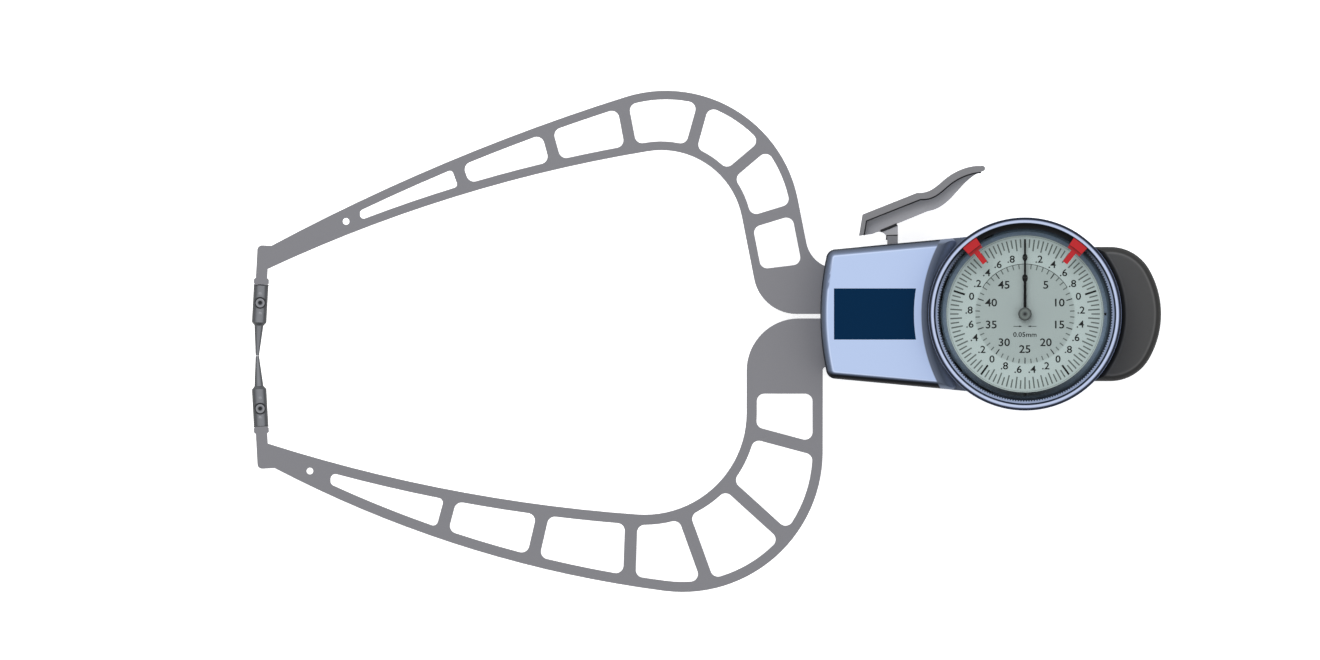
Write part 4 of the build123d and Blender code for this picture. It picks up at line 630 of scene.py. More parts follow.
# Moulded ring round the dial: slate blue, with painted shade darker up its wall and a painted dark reflection at the
# front of its foot
GLOSS_MOULDING = TurnedFinish(
    "slate_gloss_moulding", "#5B6E86", "#50627A", roughness=0.45, grain_mm=0.6, relief_mm=0.002,
    specular=0.12, mottle=0.35, back_from=-0.95, back_to=-0.3,
    rings=((24.4, "#7F8C8F"), (24.6, "#76848B"), (24.8, "#6A7A8C"), (25.7, "#5E6F82"),
           (25.85, "#3C4B58"), (26.4, "#34424E"), (26.9, "#161D28")),
    front_rings=((24.4, "#030406"), (25.4, "#06080B"), (25.7, "#161E28"), (26.4, "#1C2530"),
                 (26.9, "#0C1016")),
)
# Turned aluminium, anodised lilac: one bright land, with painted shade darkening the corners on both sides of it
ANODISED_RING = TurnedFinish(
    "lilac_anodised_aluminium", "#C4D2F6", "#BCCAF0", metallic=0.25, roughness=0.32,
    roughness_swing=0.05, grain_mm=0.2, relief_mm=0.002, stretch=(1.0, 1.0, 0.3),
    rings=((28.0, "#1C2736"), (28.46, "#2E3B52"), (28.6, "#C6D3F2"), (29.0, "#CEDAF8"),
           (29.32, "#A8B6D8"), (29.48, "#222B40"), (30.08, "#10141C"), (30.16, "#8494BC"),
           (30.2, "#8C9CC4")),
)
# Injection-moulded acetal: even signal red with a soft gloss, with painted shade darkening its sides
MOULDED_ACETAL = RimmedFinish(
    "signal_red_acetal", "#B01B23", "#A4171F", roughness=0.34, grain_mm=0.3, relief_mm=0.003,
    rims=((0.0, "#4A080C"), (0.4, "#720F14"), (0.9, "#A8161D"), (1.0, "#B8171F")),
)
# Screen-printed ink on the dial: flat black, a little grey where it lies thin
SCREEN_INK = Finish("black_screen_ink", "#161A1A", "#0C0F0F", roughness=0.7, grain_mm=0.1, specular=0.2)
# The same ink in the fine divisions, where it prints thinner
THIN_INK = Finish("thin_screen_ink", "#68726F", "#5A6462", roughness=0.7, grain_mm=0.1, specular=0.2)
# Painted shadow: dark lines in inner corners and under steps where shade falls, and along the seams where pieces meet
JOINT_SHADOW = Finish("painted_joint_shadow_line", "#17191D", "#0D0F12", roughness=0.7, grain_mm=0.3)
# The silvered teeth along the glazing ring's inner edge, painted black towards the back as the same shadow as the
# ring
KNURLED_EDGE = TurnedFinish(
    "silvered_knurl", "#B2C0DA", "#A4B2CC", roughness=0.45, grain_mm=0.15, relief_mm=0.002, specular=0.2,
    back_from=0.3, back_to=0.75, rings=((26.8, "#0E1013"), (28.4, "#0E1013")),
    front_rings=((26.8, "#94A2BD"), (28.4, "#A8B6D0")),
)
# Studio floor: opal acrylic over a dim lamp, matt, so that shadows stay pale
FLOOR_BOARD = Finish(
    "opal_acrylic_board", "#FDFDFD", "#FBFBFB", roughness=0.9, grain_mm=1.5, specular=0.1, glow=0.7
)

NODE_FINISHES: dict[str, tuple[str, ...]] = {
    "matt_coated_aluminium": ("fixed_arm", "movable_arm"),
    "matt_coated_casting": ("lever",),
    "ground_steel": ("fixed_contact", "movable_contact"),
    "blue_stoved_enamel": ("front_housing",),
    "slate_stoved_enamel": ("rear_cover",),
    "moulded_hard_rubber": ("grip_cap",),
    "navy_printed_film": ("label_plate",),
    "nitrile_rubber": ("case_seal",),
    "silvered_glazing_rubber": ("crystal_seal",),
    "turned_steel": (
        "chassis_plate", "fixed_arm_dowels", "pivot_shaft", "thrust_washers", "open_stop",
        "spring_pin", "idler_arbor", "centre_arbor", "short_hand_tube",
    ),
    "blackened_steel": (
        "bridge_screws", "chassis_screws", "cover_screws", "grip_screw", "fixed_arm_screws",
        "sector_screws", "lever_screws",
    ),
    "turned_cap_screw_fixed": ("fixed_contact_screw",),
    "turned_cap_screw_movable": ("movable_contact_screw",),
    "blued_spring_steel": (
        "retaining_ring", "measuring_spring", "hairspring", "bezel_retaining_ring",
    ),
    "grained_brass": (
        "gear_bridge", "bridge_pillars", "train_bushes", "spring_collet", "hairspring_stud",
        "pivot_bush", "toothed_sector", "idler_wheel", "idler_pinion", "short_hand_wheel",
        "hairspring_collet",
    ),
    "black_lacquer": ("long_hand", "short_hand"),
    "satin_nickel": ("hub_cap",),
    "sprayed_dial_lacquer": ("dial_plate",),
    "slate_gloss_moulding": ("dial_ring",),
    "lilac_anodised_aluminium": ("bezel_ring",),
    "polished_float_glass": ("crystal",),
    "signal_red_acetal": ("marker_left", "marker_right"),
}

FINISHES = (
    COATED_ALUMINIUM, COATED_CASTING, GROUND_STEEL, ENAMELLED_CASTING, ENAMELLED_COVER,
    MOULDED_RUBBER, PRINTED_LABEL, SEAL_RUBBER, GLAZING_RING, TURNED_STEEL, BLACKENED_STEEL, FIXED_CAP_SCREW,
    MOVABLE_CAP_SCREW, PIN_STEEL, BLUED_STEEL,
    GRAINED_BRASS, BLACK_LACQUER, SATIN_NICKEL, SPRAYED_DIAL, GLOSS_MOULDING, ANODISED_RING,
    MOULDED_ACETAL, SCREEN_INK, THIN_INK, JOINT_SHADOW, KNURLED_EDGE, FLOOR_BOARD,
)


class Paintshop:
    """Holds every finish as a material and dresses the CAD nodes with them."""

    def __init__(self) -> None:
        """Build all materials once."""
        self.materials = {finish.name: finish.build() for finish in (*FINISHES, ClearGlass())}

    def get(self, finish: Finish) -> bpy.types.Material:
        """Return the material of a finish."""
        return self.materials[finish.name]

    def dress_nodes(self) -> None:
        """Give each CAD node its finish."""
        dressed = 0
        for finish_name, nodes in NODE_FINISHES.items():
            for node in nodes:
                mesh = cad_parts[node].data
                mesh.materials.clear()
                mesh.materials.append(self.materials[finish_name])
                dressed += 1
        log.info("dressed %d of %d nodes", dressed, len(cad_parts))


def mesh_piece(name: str, mesh: bpy.types.Mesh, body: str) -> bpy.types.Object:
    """Make a finished mesh a piece of the gauge.

    Args:
        name: The piece's name.
        mesh: Its mesh, in place in the gauge's frame.
        body: The body that it rides on.

    Returns:
        The new object.
    """
    piece = bpy.data.objects.new(name, mesh)
    mesh.name = name
    bpy.context.scene.collection.objects.link(piece)
    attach(piece, body)
    log.info("%s: %d faces on %s", name, len(mesh.polygons), body)
    return piece


def only_material(mesh: bpy.types.Mesh, material: bpy.types.Material) -> bpy.types.Mesh:
    """Leave a mesh with one material on all its faces, and return it."""
    mesh.materials.clear()
    mesh.materials.append(material)
    mesh.polygons.foreach_set("material_index", [0] * len(mesh.polygons))
    return mesh


def applied_nodes(
    tree: bpy.types.NodeTree,
    base: bpy.types.Mesh,
    values: dict[str, float],
    material: bpy.types.Material,
) -> bpy.types.Mesh:
    """Run a Geometry Nodes tree on a mesh and return the result as a plain mesh.

    Args:
        tree: The Geometry Nodes tree.
        base: The mesh that the tree starts from.
        values: Value of each named input.
        material: The material that the tree sets.

    Returns:
        The plain mesh.
    """
    carrier = bpy.data.objects.new("carrier", base)
    bpy.context.scene.collection.objects.link(carrier)
    modifier = carrier.modifiers.new("pattern", "NODES")
    modifier.node_group = tree
    for item in tree.interface.items_tree:
        if item.item_type == "SOCKET" and item.in_out == "INPUT" and item.name in values:
            modifier[item.identifier] = values[item.name]
    bpy.context.view_layer.update()
    evaluated = carrier.evaluated_get(bpy.context.evaluated_depsgraph_get())
    result = bpy.data.meshes.new_from_object(evaluated)
    carrier.modifiers.remove(modifier)
    bpy.data.objects.remove(carrier)
    return only_material(result, material)


def new_geometry_tree(name: str, sizes: dict[str, float]) -> tuple[bpy.types.NodeTree, bpy.types.Node]:
    """Start a Geometry Nodes tree with named float inputs.

    Args:
        name: The tree's name.
        sizes: Name and default of each float input.

    Returns:
        The tree and its Group Input node.
    """
    tree = bpy.data.node_groups.new(name, "GeometryNodeTree")
    tree.interface.new_socket("Geometry", in_out="INPUT", socket_type="NodeSocketGeometry")
    for size, value in sizes.items():
        socket = tree.interface.new_socket(size, in_out="INPUT", socket_type="NodeSocketFloat")
        socket.default_value = value
    tree.interface.new_socket("Geometry", in_out="OUTPUT", socket_type="NodeSocketGeometry")
    return tree, add_node(tree, "NodeGroupInput")


def end_tree(tree: bpy.types.NodeTree, last: bpy.types.NodeSocket, material: bpy.types.Material) -> None:
    """End a tree in Realize Instances and Set Material.

    Args:
        tree: The Geometry Nodes tree.
        last: The geometry socket to finish from.
        material: The material of the result.
    """
    real = add_node(tree, "GeometryNodeRealizeInstances", {"Geometry": last})
    dressed = add_node(
        tree, "GeometryNodeSetMaterial", {"Geometry": real.outputs[0], "Material": material}
    )
    add_node(tree, "NodeGroupOutput", {0: dressed.outputs[0]})


@dataclass
class RadialMarks:
    """Equal small bars round the dial's axis, made by one Geometry Nodes tree.

    Attributes:
        count: How many bars make a full circle.
        inner: Radius of their inner ends, in millimetres.
        outer: Radius of their outer ends.
        width: Width of a bar.
        height: Thickness of a bar, upwards.
        level: Height of their undersides.
        first: Angle of the first bar from twelve o'clock, in degrees.
    """

    count: int
    inner: float
    outer: float
    width: float
    height: float
    level: float
    first: float = 0.0

    def mesh(self, material: bpy.types.Material) -> bpy.types.Mesh:
        """Build the bars.

        Args:
            material: Their material.

        Returns:
            All bars as one plain mesh.
        """
        tree, given = new_geometry_tree(
            "radial_marks",
            {"Count": 1.0, "Inner": 1.0, "Outer": 2.0, "Width": 0.1, "Height": 0.1, "Level": 0.0,
             "First": 0.0},
        )
        length = add_node(
            tree, "ShaderNodeMath", {0: given.outputs["Outer"], 1: given.outputs["Inner"]},
            operation="SUBTRACT",
        )
        sizes = add_node(
            tree, "ShaderNodeCombineXYZ",
            {"X": given.outputs["Width"], "Y": length.outputs[0], "Z": given.outputs["Height"]},
        )
        bar = add_node(tree, "GeometryNodeMeshCube", {"Size": sizes.outputs[0]})
        half = add_node(
            tree, "ShaderNodeMath", {0: length.outputs[0], 1: 0.5}, operation="MULTIPLY"
        )
        middle = add_node(
            tree, "ShaderNodeMath", {0: given.outputs["Inner"], 1: half.outputs[0]}, operation="ADD"
        )
        lift = add_node(
            tree, "ShaderNodeMath", {0: given.outputs["Height"], 1: 0.5}, operation="MULTIPLY"
        )
        floor = add_node(
            tree, "ShaderNodeMath", {0: lift.outputs[0], 1: given.outputs["Level"]}, operation="ADD"
        )
        outwards = add_node(
            tree, "ShaderNodeCombineXYZ", {"Y": middle.outputs[0], "Z": floor.outputs[0]}
        )
        placed = add_node(
            tree, "GeometryNodeTransform",
            {"Geometry": bar.outputs["Mesh"], "Translation": outwards.outputs[0]},
        )
        points = add_node(
            tree, "GeometryNodePoints", {"Count": given.outputs["Count"]}
        )
        index = add_node(tree, "GeometryNodeInputIndex")
        step = add_node(
            tree, "ShaderNodeMath", {0: 2 * math.pi, 1: given.outputs["Count"]}, operation="DIVIDE"
        )
        turned = add_node(
            tree, "ShaderNodeMath",
            {0: index.outputs[0], 1: step.outputs[0], 2: given.outputs["First"]},
            operation="MULTIPLY_ADD",
        )
        clockwise = add_node(
            tree, "ShaderNodeMath", {0: turned.outputs[0], 1: -1.0}, operation="MULTIPLY"
        )
        angle = add_node(tree, "ShaderNodeCombineXYZ", {"Z": clockwise.outputs[0]})
        copies = add_node(
            tree, "GeometryNodeInstanceOnPoints",
            {"Points": points.outputs[0], "Instance": placed.outputs[0], "Rotation": angle.outputs[0]},
        )
        end_tree(tree, copies.outputs[0], material)
        return applied_nodes(
            tree,
            bpy.data.meshes.new("seed"),
            {
                "Count": float(self.count), "Inner": self.inner * MM, "Outer": self.outer * MM,
                "Width": self.width * MM, "Height": self.height * MM, "Level": self.level * MM,
                "First": math.radians(self.first),
            },
            material,
        )


def joined(name: str, meshes: list[bpy.types.Mesh], material: bpy.types.Material) -> bpy.types.Mesh:
    """Join meshes that are already in place into one.

    Args:
        name: Name of the new mesh.
        meshes: What to join.
        material: The material of the whole.

    Returns:
        The joined mesh.
    """
    result = bpy.data.meshes.new(name)
    shape = bmesh.new()
    for mesh in meshes:
        shape.from_mesh(mesh)
    shape.to_mesh(result)
    shape.free()
    return only_material(result, material)


@dataclass
class DialPrint:
    """Screen printing on the dial: two scales, their figures and the reading's unit.

    Attributes:
        thickness: Thickness of the ink, drawn thick enough to render clean.
        tick_outer: Outer radius of the main scale's divisions.
        tick_long: Inner radius of its even divisions.
        tick_short: Inner radius of its odd divisions.
        figure_radius: Radius of the main scale's figures.
        figure_height: Height of those figures.
        turn_outer: Outer radius of the inner scale.
        turn_inner: Inner radius of its divisions.
        turn_figure_radius: Radius of the inner scale's figures.
        turn_figure_height: Height of those figures.
        boldness: How far a stroke is fattened on each side, as a share of a figure's height.
        breadth: How much wider a figure is than the plain letter.
    """

    thickness: float = 0.02
    tick_outer: float = 23.4
    tick_long: float = 19.75
    tick_short: float = 20.75
    figure_radius: float = 17.55
    figure_height: float = 2.2
    turn_outer: float = 15.5
    turn_inner: float = 14.1
    turn_figure_radius: float = 11.1
    turn_figure_height: float = 2.4
    boldness: float = 0.02
    breadth: float = 1.1
    level: float = field(init=False)

    def __post_init__(self) -> None:
        """Lay the ink on top of the dial plate."""
        self.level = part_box("dial_plate")[1].z / MM

    def text(self, words: str, height: float, x: float, y: float, material: bpy.types.Material) -> bpy.types.Mesh:
        """Print words upright, centred on a point of the dial.

        Args:
            words: What to print.
            height: Height of a figure, in millimetres.
            x: Place along X, in millimetres.
            y: Place along Y, in millimetres.
            material: The ink.

        Returns:
            The words as a plain mesh in place.
        """
        curve = bpy.data.curves.new("figure", "FONT")
        curve.body = words
        curve.size = height / 0.7 * MM
        curve.align_x = "CENTER"
        curve.align_y = "CENTER"
        curve.extrude = self.thickness / 2 * MM
        curve.offset = self.boldness * height * MM
        curve.resolution_u = 3
        holder = bpy.data.objects.new("figure", curve)
        bpy.context.scene.collection.objects.link(holder)
        bpy.context.view_layer.update()
        mesh = bpy.data.meshes.new_from_object(holder.evaluated_get(bpy.context.evaluated_depsgraph_get()))
        place = Matrix.Translation(Vector((x, y, self.level + self.thickness / 2)) * MM)
        mesh.transform(place @ Matrix.Diagonal((self.breadth, 1.0, 1.0, 1.0)))
        mesh.materials.clear()
        mesh.materials.append(material)
        bpy.data.objects.remove(holder)
        return mesh

    def ring_of_text(self, words: list[str], radius: float, height: float, material: bpy.types.Material) -> list:
        """Print upright words at equal steps clockwise from twelve o'clock.

        Args:
            words: The words, in order.
            radius: Radius of their middles.
            height: Height of a figure.
            material: The ink.

        Returns:
            One mesh for each word.
        """
        step = 2 * math.pi / len(words)
        return [
            self.text(
                word, height, radius * math.sin(place * step), radius * math.cos(place * step), material
            )
            for place, word in enumerate(words)
        ]

    def flat_shape(self, outline: list[tuple[float, float]], material: bpy.types.Material) -> bpy.types.Mesh:
        """Print a small filled shape.

        Args:
            outline: Its corners in millimetres, anticlockwise.
            material: The ink.

        Returns:
            The shape as a thin closed mesh.
        """
        shape = bmesh.new()
        corners = [shape.verts.new((x * MM, y * MM, self.level * MM)) for x, y in outline]
        face = shape.faces.new(corners)
        grown = bmesh.ops.extrude_face_region(shape, geom=[face])
        lifted = [part for part in grown["geom"] if isinstance(part, bmesh.types.BMVert)]
        bmesh.ops.translate(shape, verts=lifted, vec=(0, 0, self.thickness * MM))
        bmesh.ops.recalc_face_normals(shape, faces=shape.faces)
        mesh = bpy.data.meshes.new("shape")
        shape.to_mesh(mesh)
        shape.free()
        mesh.materials.append(material)
        return mesh

    def arc(self, radius: float, width: float, half_angle: float, material: bpy.types.Material) -> bpy.types.Mesh:
        """Print a thin arc centred on twelve o'clock.

        Args:
            radius: Its middle radius.
            width: Its line width.
            half_angle: Degrees to each side of twelve o'clock.
            material: The ink.

        Returns:
            The arc as a thin closed mesh.
        """
        steps = 96
        angles = [math.radians(-half_angle + 2 * half_angle * step / steps) for step in range(steps + 1)]
        outer = [((radius + width / 2) * math.sin(turn), (radius + width / 2) * math.cos(turn)) for turn in angles]
        inner = [((radius - width / 2) * math.sin(turn), (radius - width / 2) * math.cos(turn)) for turn in angles]
        return self.flat_shape(outer + inner[::-1], material)

    def unit_arrows(self, material: bpy.types.Material) -> list[bpy.types.Mesh]:
        """Print the two small arrows that face each other over the unit.

        Args:
            material: The ink.

        Returns:
            The shafts and the heads.
        """
        height, reach, gap, head, line = -3.85, 3.6, 0.9, 0.9, 0.09
        shapes = []
        for side in (1, -1):
            tip = side * gap
            base = side * (gap + head)
            corners = [(tip, height), (base, height - 0.28 * side), (base, height + 0.28 * side)]
            shapes.append(self.flat_shape(corners[::-1], material))
            low, high = sorted((base, side * reach))
            shapes.append(
                self.flat_shape(
                    [(low, height - line), (high, height - line), (high, height + line), (low, height + line)],
                    material,
                )
            )
        return shapes

    def build(self, shop: Paintshop) -> None:
        """Make the printing and let it ride on the bezel, as the dial plate does.

        Args:
            shop: The materials.
        """
        ink, thin = shop.get(SCREEN_INK), shop.get(THIN_INK)
        divisions = [
            RadialMarks(50, self.tick_long, self.tick_outer, 0.44, self.thickness, self.level),
            RadialMarks(50, self.tick_short, self.tick_outer, 0.42, self.thickness, self.level, 3.6),
            RadialMarks(50, self.turn_inner, self.turn_outer, 0.36, self.thickness, self.level),
        ]
        outline = self.arc(self.tick_outer + 0.75, 0.08, 180, thin)
        fine = joined("dial_divisions", [*(marks.mesh(thin) for marks in divisions), outline], thin)
        mesh_piece("dial_divisions", fine, "bezel")
        bold = [
            RadialMarks(5, self.tick_long, self.tick_outer, 0.6, 1.5 * self.thickness, self.level).mesh(ink),
            RadialMarks(10, self.turn_inner - 0.5, self.turn_outer, 0.3, 1.5 * self.thickness, self.level).mesh(ink),
            self.arc(15.6, 0.18, 58, ink),
        ]
        mesh_piece("dial_bold_divisions", joined("dial_bold_divisions", bold, ink), "bezel")
        main = [".0", ".2", ".4", ".6", ".8"] * 5
        main = ["0" if word == ".0" else word for word in main]
        turns = [str(5 * turn) for turn in range(10)]
        figures = self.ring_of_text(main, self.figure_radius, self.figure_height, ink)
        figures += self.ring_of_text(turns, self.turn_figure_radius, self.turn_figure_height, ink)
        mesh_piece("dial_figures", joined("dial_figures", figures, ink), "bezel")
        unit = [self.text("0.05mm", 1.45, 0, -6.5, ink), *self.unit_arrows(ink)]
        mesh_piece("dial_unit", joined("dial_unit", unit, ink), "bezel")


@dataclass
class BezelTrim:
    """Fine teeth on the glazing ring and the two index pins on the dial's ring.

    Attributes:
        knurl_count: Teeth in the full circle.
        knurl_inner: Radius that the teeth reach in to.
        knurl_outer: Radius of their roots.
        knurl_width: Width of a tooth.
        knurl_rise: How far a tooth stands up from the ring.
        pin_circle: Radius of the circle that the index pins stand on.
        pin_radius: Radius of an index pin.
    """

    knurl_count: int = 204
    knurl_inner: float = 27.1
    knurl_outer: float = 27.5
    knurl_width: float = 0.45
    knurl_rise: float = 0.03
    pin_circle: float = 25.1
    pin_radius: float = 0.42

    def pins(self, material: bpy.types.Material) -> bpy.types.Mesh:
        """Build the two index pins at three and six o'clock.

        Args:
            material: Their material.

        Returns:
            Both pins as one mesh.
        """
        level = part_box("dial_ring")[0].z / MM + 1.0
        shape = bmesh.new()
        for angle in (0.0, -math.pi / 2):
            centre = Vector((self.pin_circle * math.cos(angle), self.pin_circle * math.sin(angle), level)) * MM
            bmesh.ops.create_uvsphere(
                shape, u_segments=16, v_segments=10, radius=self.pin_radius * MM,
                matrix=Matrix.Translation(centre),
            )
        mesh = bpy.data.meshes.new("index_pins")
        shape.to_mesh(mesh)
        shape.free()
        mesh.materials.append(material)
        return mesh

    def build(self, shop: Paintshop) -> None:
        """Make the trim and let it ride on the bezel.

        Args:
            shop: The materials.
        """
        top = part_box("crystal_seal")[1].z / MM
        knurl = RadialMarks(
            self.knurl_count, self.knurl_inner, self.knurl_outer, self.knurl_width, 2 * self.knurl_rise,
            top - self.knurl_rise,
        )
        mesh_piece("glazing_knurl", knurl.mesh(shop.get(KNURLED_EDGE)), "bezel")
        mesh_piece("index_pins", self.pins(shop.get(BLACK_LACQUER)), "bezel")


@dataclass
class JointLines:
    """Dark lines of painted shade along the inner corners of a node, where two of its forms meet.

    Attributes:
        node: The CAD node that carries the lines.
        body: The body that the node rides on.
        lowest: Lines start above this height, in millimetres.
        radius: Radius of a line.
        sharpness: Least angle between the two faces, in degrees.
    """

    node: str
    body: str
    lowest: float
    radius: float = 0.11
    sharpness: float = 50.0

    def wanted(self, edge: bmesh.types.BMEdge) -> bool:
        """Tell whether a line runs along an edge: a level inner corner that is high enough.

        Args:
            edge: An edge of the merged node, between two faces.

        Returns:
            True where the edge carries a line.
        """
        first, second = (vert.co.z for vert in edge.verts)
        is_inner = edge.calc_face_angle_signed(0.0) < -math.radians(self.sharpness)
        return is_inner and min(first, second) > self.lowest * MM and abs(first - second) < 0.05 * MM

    def corner_edges(self) -> bpy.types.Mesh:
        """Collect the edges that carry a line, on a merged copy of the node.

        Returns:
            A mesh that holds those edges alone.
        """
        shape = bmesh.new()
        shape.from_mesh(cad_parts[self.node].data)
        bmesh.ops.remove_doubles(shape, verts=shape.verts, dist=0.002 * MM)
        kept = [edge for edge in shape.edges if len(edge.link_faces) == 2 and self.wanted(edge)]
        points = {vert: Vector(vert.co) for edge in kept for vert in edge.verts}
        order = {vert: place for place, vert in enumerate(points)}
        mesh = bpy.data.meshes.new("corner_edges")
        mesh.from_pydata(
            list(points.values()), [tuple(order[vert] for vert in edge.verts) for edge in kept], []
        )
        shape.free()
        return mesh

    def build(self, shop: Paintshop) -> None:
        """Sweep a thin round line along the corners.

        Args:
            shop: The materials.
        """
        edges = self.corner_edges()
        if not edges.edges:
            log.info("%s has no inner corners above %.1f mm", self.node, self.lowest)
            return
        tree, given = new_geometry_tree("joint_shade_lines", {"Radius": 0.1 * MM})
        path = add_node(tree, "GeometryNodeMeshToCurve", {0: given.outputs["Geometry"]})
        round_line = add_node(
            tree, "GeometryNodeCurvePrimitiveCircle", {"Resolution": 6, "Radius": given.outputs["Radius"]}
        )
        swept = add_node(
            tree, "GeometryNodeCurveToMesh",
            {"Curve": path.outputs[0], "Profile Curve": round_line.outputs[0], "Fill Caps": True},
        )
        end_tree(tree, swept.outputs[0], shop.get(JOINT_SHADOW))
        mesh = applied_nodes(tree, edges, {"Radius": self.radius * MM}, shop.get(JOINT_SHADOW))
        mesh_piece(f"{self.node}_joint_shade_lines", mesh, self.body)


@dataclass
class LeverLines(JointLines):
    """The lever's painted shade lines, with one more as a painted shadow where its web passes over the stem.

    Attributes:
        stem_line: Both ends of that line along X and Y, in millimetres.
        web_rise: Height of the web's upper face over the middle of the lever.
    """

    stem_line: tuple[tuple[float, float], tuple[float, float]] = ((-45.1, 25.9), (-40.0, 28.0))
    web_rise: float = 2.0

    def corner_edges(self) -> bpy.types.Mesh:
        """Collect the edges that carry a line, and add the one over the stem.

        Returns:
            A mesh that holds those edges alone.
        """
        mesh = super().corner_edges()
        level = sum(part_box(self.node), Vector()).z / 2 + self.web_rise * MM
        shape = bmesh.new()
        shape.from_mesh(mesh)
        shape.edges.new([shape.verts.new((x * MM, y * MM, level)) for x, y in self.stem_line])
        shape.to_mesh(mesh)
        shape.free()
        return mesh


@dataclass
class SeamLines(JointLines):
    """Dark line round a contact's butt end, where it meets its arm.

    Attributes:
        depth: Edges within this distance of the end carry the line, in millimetres.
        end: Place of the butt end along Y, in metres: the end nearer the contact's screw.
    """

    depth: float = 0.25
    end: float = field(init=False)

    def __post_init__(self) -> None:
        """Find the butt end."""
        low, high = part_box(self.node)
        screw = sum(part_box(f"{self.node}_screw"), Vector()) / 2
        self.end = high.y if high.y - screw.y < screw.y - low.y else low.y

    def wanted(self, edge: bmesh.types.BMEdge) -> bool:
        """Tell whether an edge lies on the rim of the butt end.

        Args:
            edge: An edge of the merged node, between two faces.

        Returns:
            True where the edge carries a line.
        """
        is_sharp = abs(edge.calc_face_angle_signed(0.0)) > math.radians(self.sharpness)
        return is_sharp and all(abs(vert.co.y - self.end) < self.depth * MM for vert in edge.verts)


@dataclass
class ContactPins:
    """Domed ends of the two pins that keep a contact from turning on its screw.

    Attributes:
        contact: The contact's node.
        screw: The node of its screw.
        body: The body that they ride on.
        spacing: Distance of each pin from the screw's middle, towards the arm and away from it.
        radius: Radius of a pin.
        dome: Height of its domed end.
    """

    contact: str
    screw: str
    body: str
    spacing: tuple[float, float] = (2.85, 3.3)
    radius: float = 0.5
    dome: float = 0.12

    def build(self, shop: Paintshop) -> None:
        """Set both domes in the contact's upper face.

        Args:
            shop: The materials.
        """
        middle = sum(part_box(self.screw), Vector()) / 2
        low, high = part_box(self.contact)
        top = high.z
        towards_arm = 1 if high.y - middle.y < middle.y - low.y else -1
        shape = bmesh.new()
        for step in (towards_arm * self.spacing[0], -towards_arm * self.spacing[1]):
            place = Matrix.Translation((middle.x, middle.y + step * MM, top - self.dome / 2 * MM))
            flat = Matrix.Diagonal((self.radius * MM, self.radius * MM, self.dome * MM, 1.0))
            bmesh.ops.create_uvsphere(shape, u_segments=20, v_segments=8, radius=1.0, matrix=place @ flat)
        mesh = bpy.data.meshes.new("pins")
        shape.to_mesh(mesh)
        shape.free()
        mesh_piece(f"{self.contact}_pins", only_material(mesh, shop.get(PIN_STEEL)), self.body)


@dataclass
class Hands:
    """The two hands, cut a little broader than their blanks so that they read well.

    Attributes:
        breadths: How much broader each hand is than its blank, at its hub and at its tip.
        hub_reach: The hub within this distance keeps its shape, in millimetres.
    """

    breadths: dict[str, tuple[float, float]] = field(
        default_factory=lambda: {"long_hand": (1.8, 2.4), "short_hand": (1.3, 1.5)}
    )
    hub_reach: float = 1.85

    def build(self, shop: Paintshop) -> None:
        """Cut both hands and let them stand for their blanks.

        Args:
            shop: The materials.
        """
        for hand, (at_hub, at_tip) in self.breadths.items():
            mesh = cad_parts[hand].data.copy()
            tip = max(vert.co.y for vert in mesh.vertices)
            for vert in mesh.vertices:
                if vert.co.y > self.hub_reach * MM:
                    vert.co.x *= at_hub + (at_tip - at_hub) * vert.co.y / tip
            piece = mesh_piece(
                f"{hand}_blade", only_material(mesh, shop.get(BLACK_LACQUER)), hand
            )
            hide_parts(hand)


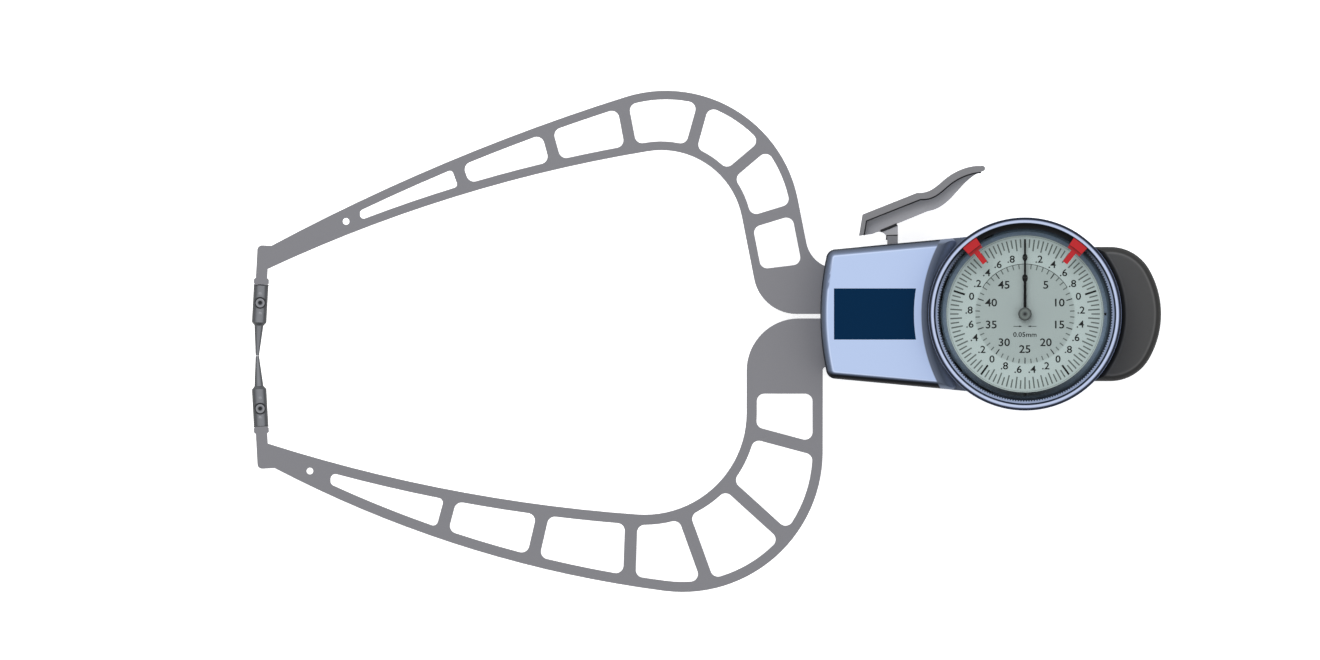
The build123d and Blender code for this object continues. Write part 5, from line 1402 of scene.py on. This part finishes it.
@dataclass
class Studio:
    """White floor, soft lights and a camera that looks straight down, as in the photograph.

    Attributes:
        floor_size: Side of the floor, in metres.
        camera_height: Height of the camera over the floor.
        room_front: Strength of the room's light from the front.
        room_back: Strength of the room's light from behind.
    """

    floor_size: float = 6.0
    camera_height: float = 1.2
    room_front: float = 0.4
    room_back: float = 1.2

    def add_floor(self, shop: Paintshop) -> None:
        """Lay a white board under the gauge.

        Args:
            shop: The materials.
        """
        half = self.floor_size / 2
        mesh = bpy.data.meshes.new("floor")
        mesh.from_pydata([(-half, -half, 0), (half, -half, 0), (half, half, 0), (-half, half, 0)], [], [(0, 1, 2, 3)])
        mesh.materials.append(shop.get(FLOOR_BOARD))
        floor = bpy.data.objects.new("floor", mesh)
        floor.location.z = -0.02 * MM
        bpy.context.scene.collection.objects.link(floor)

    def add_light(self, name: str, place: tuple[float, float, float], size: float, power: float) -> None:
        """Hang a square soft light that faces the gauge.

        Args:
            name: The light's name.
            place: Where it hangs, in metres.
            size: Its side, in metres.
            power: Its power, in watts.
        """
        data = bpy.data.lights.new(name, "AREA")
        data.shape = "SQUARE"
        data.size = size
        data.energy = power
        lamp = bpy.data.objects.new(name, data)
        lamp.location = place
        aim = Vector((-0.09, 0.0, 0.0)) - Vector(place)
        lamp.rotation_euler = aim.to_track_quat("-Z", "Y").to_euler()
        bpy.context.scene.collection.objects.link(lamp)

    def add_camera(self) -> None:
        """Set the camera straight above the middle of the photograph's frame."""
        data = bpy.data.cameras.new("camera")
        data.type = "ORTHO"
        data.ortho_scale = PHOTO_WIDTH * PIXEL
        camera = bpy.data.objects.new("camera", data)
        camera.location = (
            (PHOTO_WIDTH / 2 - DIAL_PIXEL_X) * PIXEL,
            (DIAL_PIXEL_Y - PHOTO_HEIGHT / 2) * PIXEL,
            self.camera_height,
        )
        bpy.context.scene.collection.objects.link(camera)
        bpy.context.scene.camera = camera

    def soft_room(self) -> bpy.types.World:
        """Light the room evenly from its walls, more from behind, with a dark flag overhead.

        Returns:
            The world.
        """
        world = bpy.data.worlds.new("studio")
        world.use_nodes = True
        tree = world.node_tree
        coords = add_node(tree, "ShaderNodeTexCoord")
        parts = add_node(tree, "ShaderNodeSeparateXYZ", {"Vector": coords.outputs["Object"]})
        flag = add_node(
            tree, "ShaderNodeMapRange",
            {"Value": parts.outputs["Z"], "From Min": 0.8, "From Max": 0.93, "To Min": 1.0, "To Max": 0.6},
        )
        behind = add_node(
            tree, "ShaderNodeMapRange",
            {"Value": parts.outputs["Y"], "From Min": -1.0, "From Max": 1.0, "To Min": self.room_front,
             "To Max": self.room_back},
        )
        level = add_node(
            tree, "ShaderNodeMath", {0: flag.outputs["Result"], 1: behind.outputs["Result"]},
            operation="MULTIPLY",
        )
        tree.links.new(level.outputs[0], tree.nodes["Background"].inputs["Strength"])
        tree.nodes["Background"].inputs["Color"].default_value = linear("#FFFFFF")
        return world

    def build(self, shop: Paintshop) -> None:
        """Set the whole studio.

        Args:
            shop: The materials.
        """
        self.add_floor(shop)
        self.add_light("key_sheet", (-0.45, 0.95, 0.9), 0.9, 7.0)
        self.add_light("fill_sheet", (0.9, -0.6, 0.9), 1.0, 3.0)
        bpy.context.scene.world = self.soft_room()
        bpy.context.scene.view_settings.view_transform = "Standard"
        self.add_camera()
        log.info("studio set")


def write_sizes() -> None:
    """Bring the view layer up to date."""
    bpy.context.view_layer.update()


def main() -> None:
    """Dress the frame, add the fine pieces and set the studio."""
    logging.basicConfig(level=logging.INFO, format="%(name)s: %(message)s")
    shop = Paintshop()
    shop.dress_nodes()
    DialPrint().build(shop)
    BezelTrim().build(shop)
    LeverLines("lever", "movable_arm", 9.0, radius=0.42).build(shop)
    for marker in ("marker_left", "marker_right"):
        JointLines(marker, marker, 27.9, radius=0.13).build(shop)
    for arm, body in (("fixed", "case"), ("movable", "movable_arm")):
        SeamLines(f"{arm}_contact", body, 0.0, radius=0.15).build(shop)
        ContactPins(f"{arm}_contact", f"{arm}_contact_screw", body).build(shop)
    Hands().build(shop)
    Studio().build(shop)
    write_sizes()


if __name__ == "__main__":
    main()
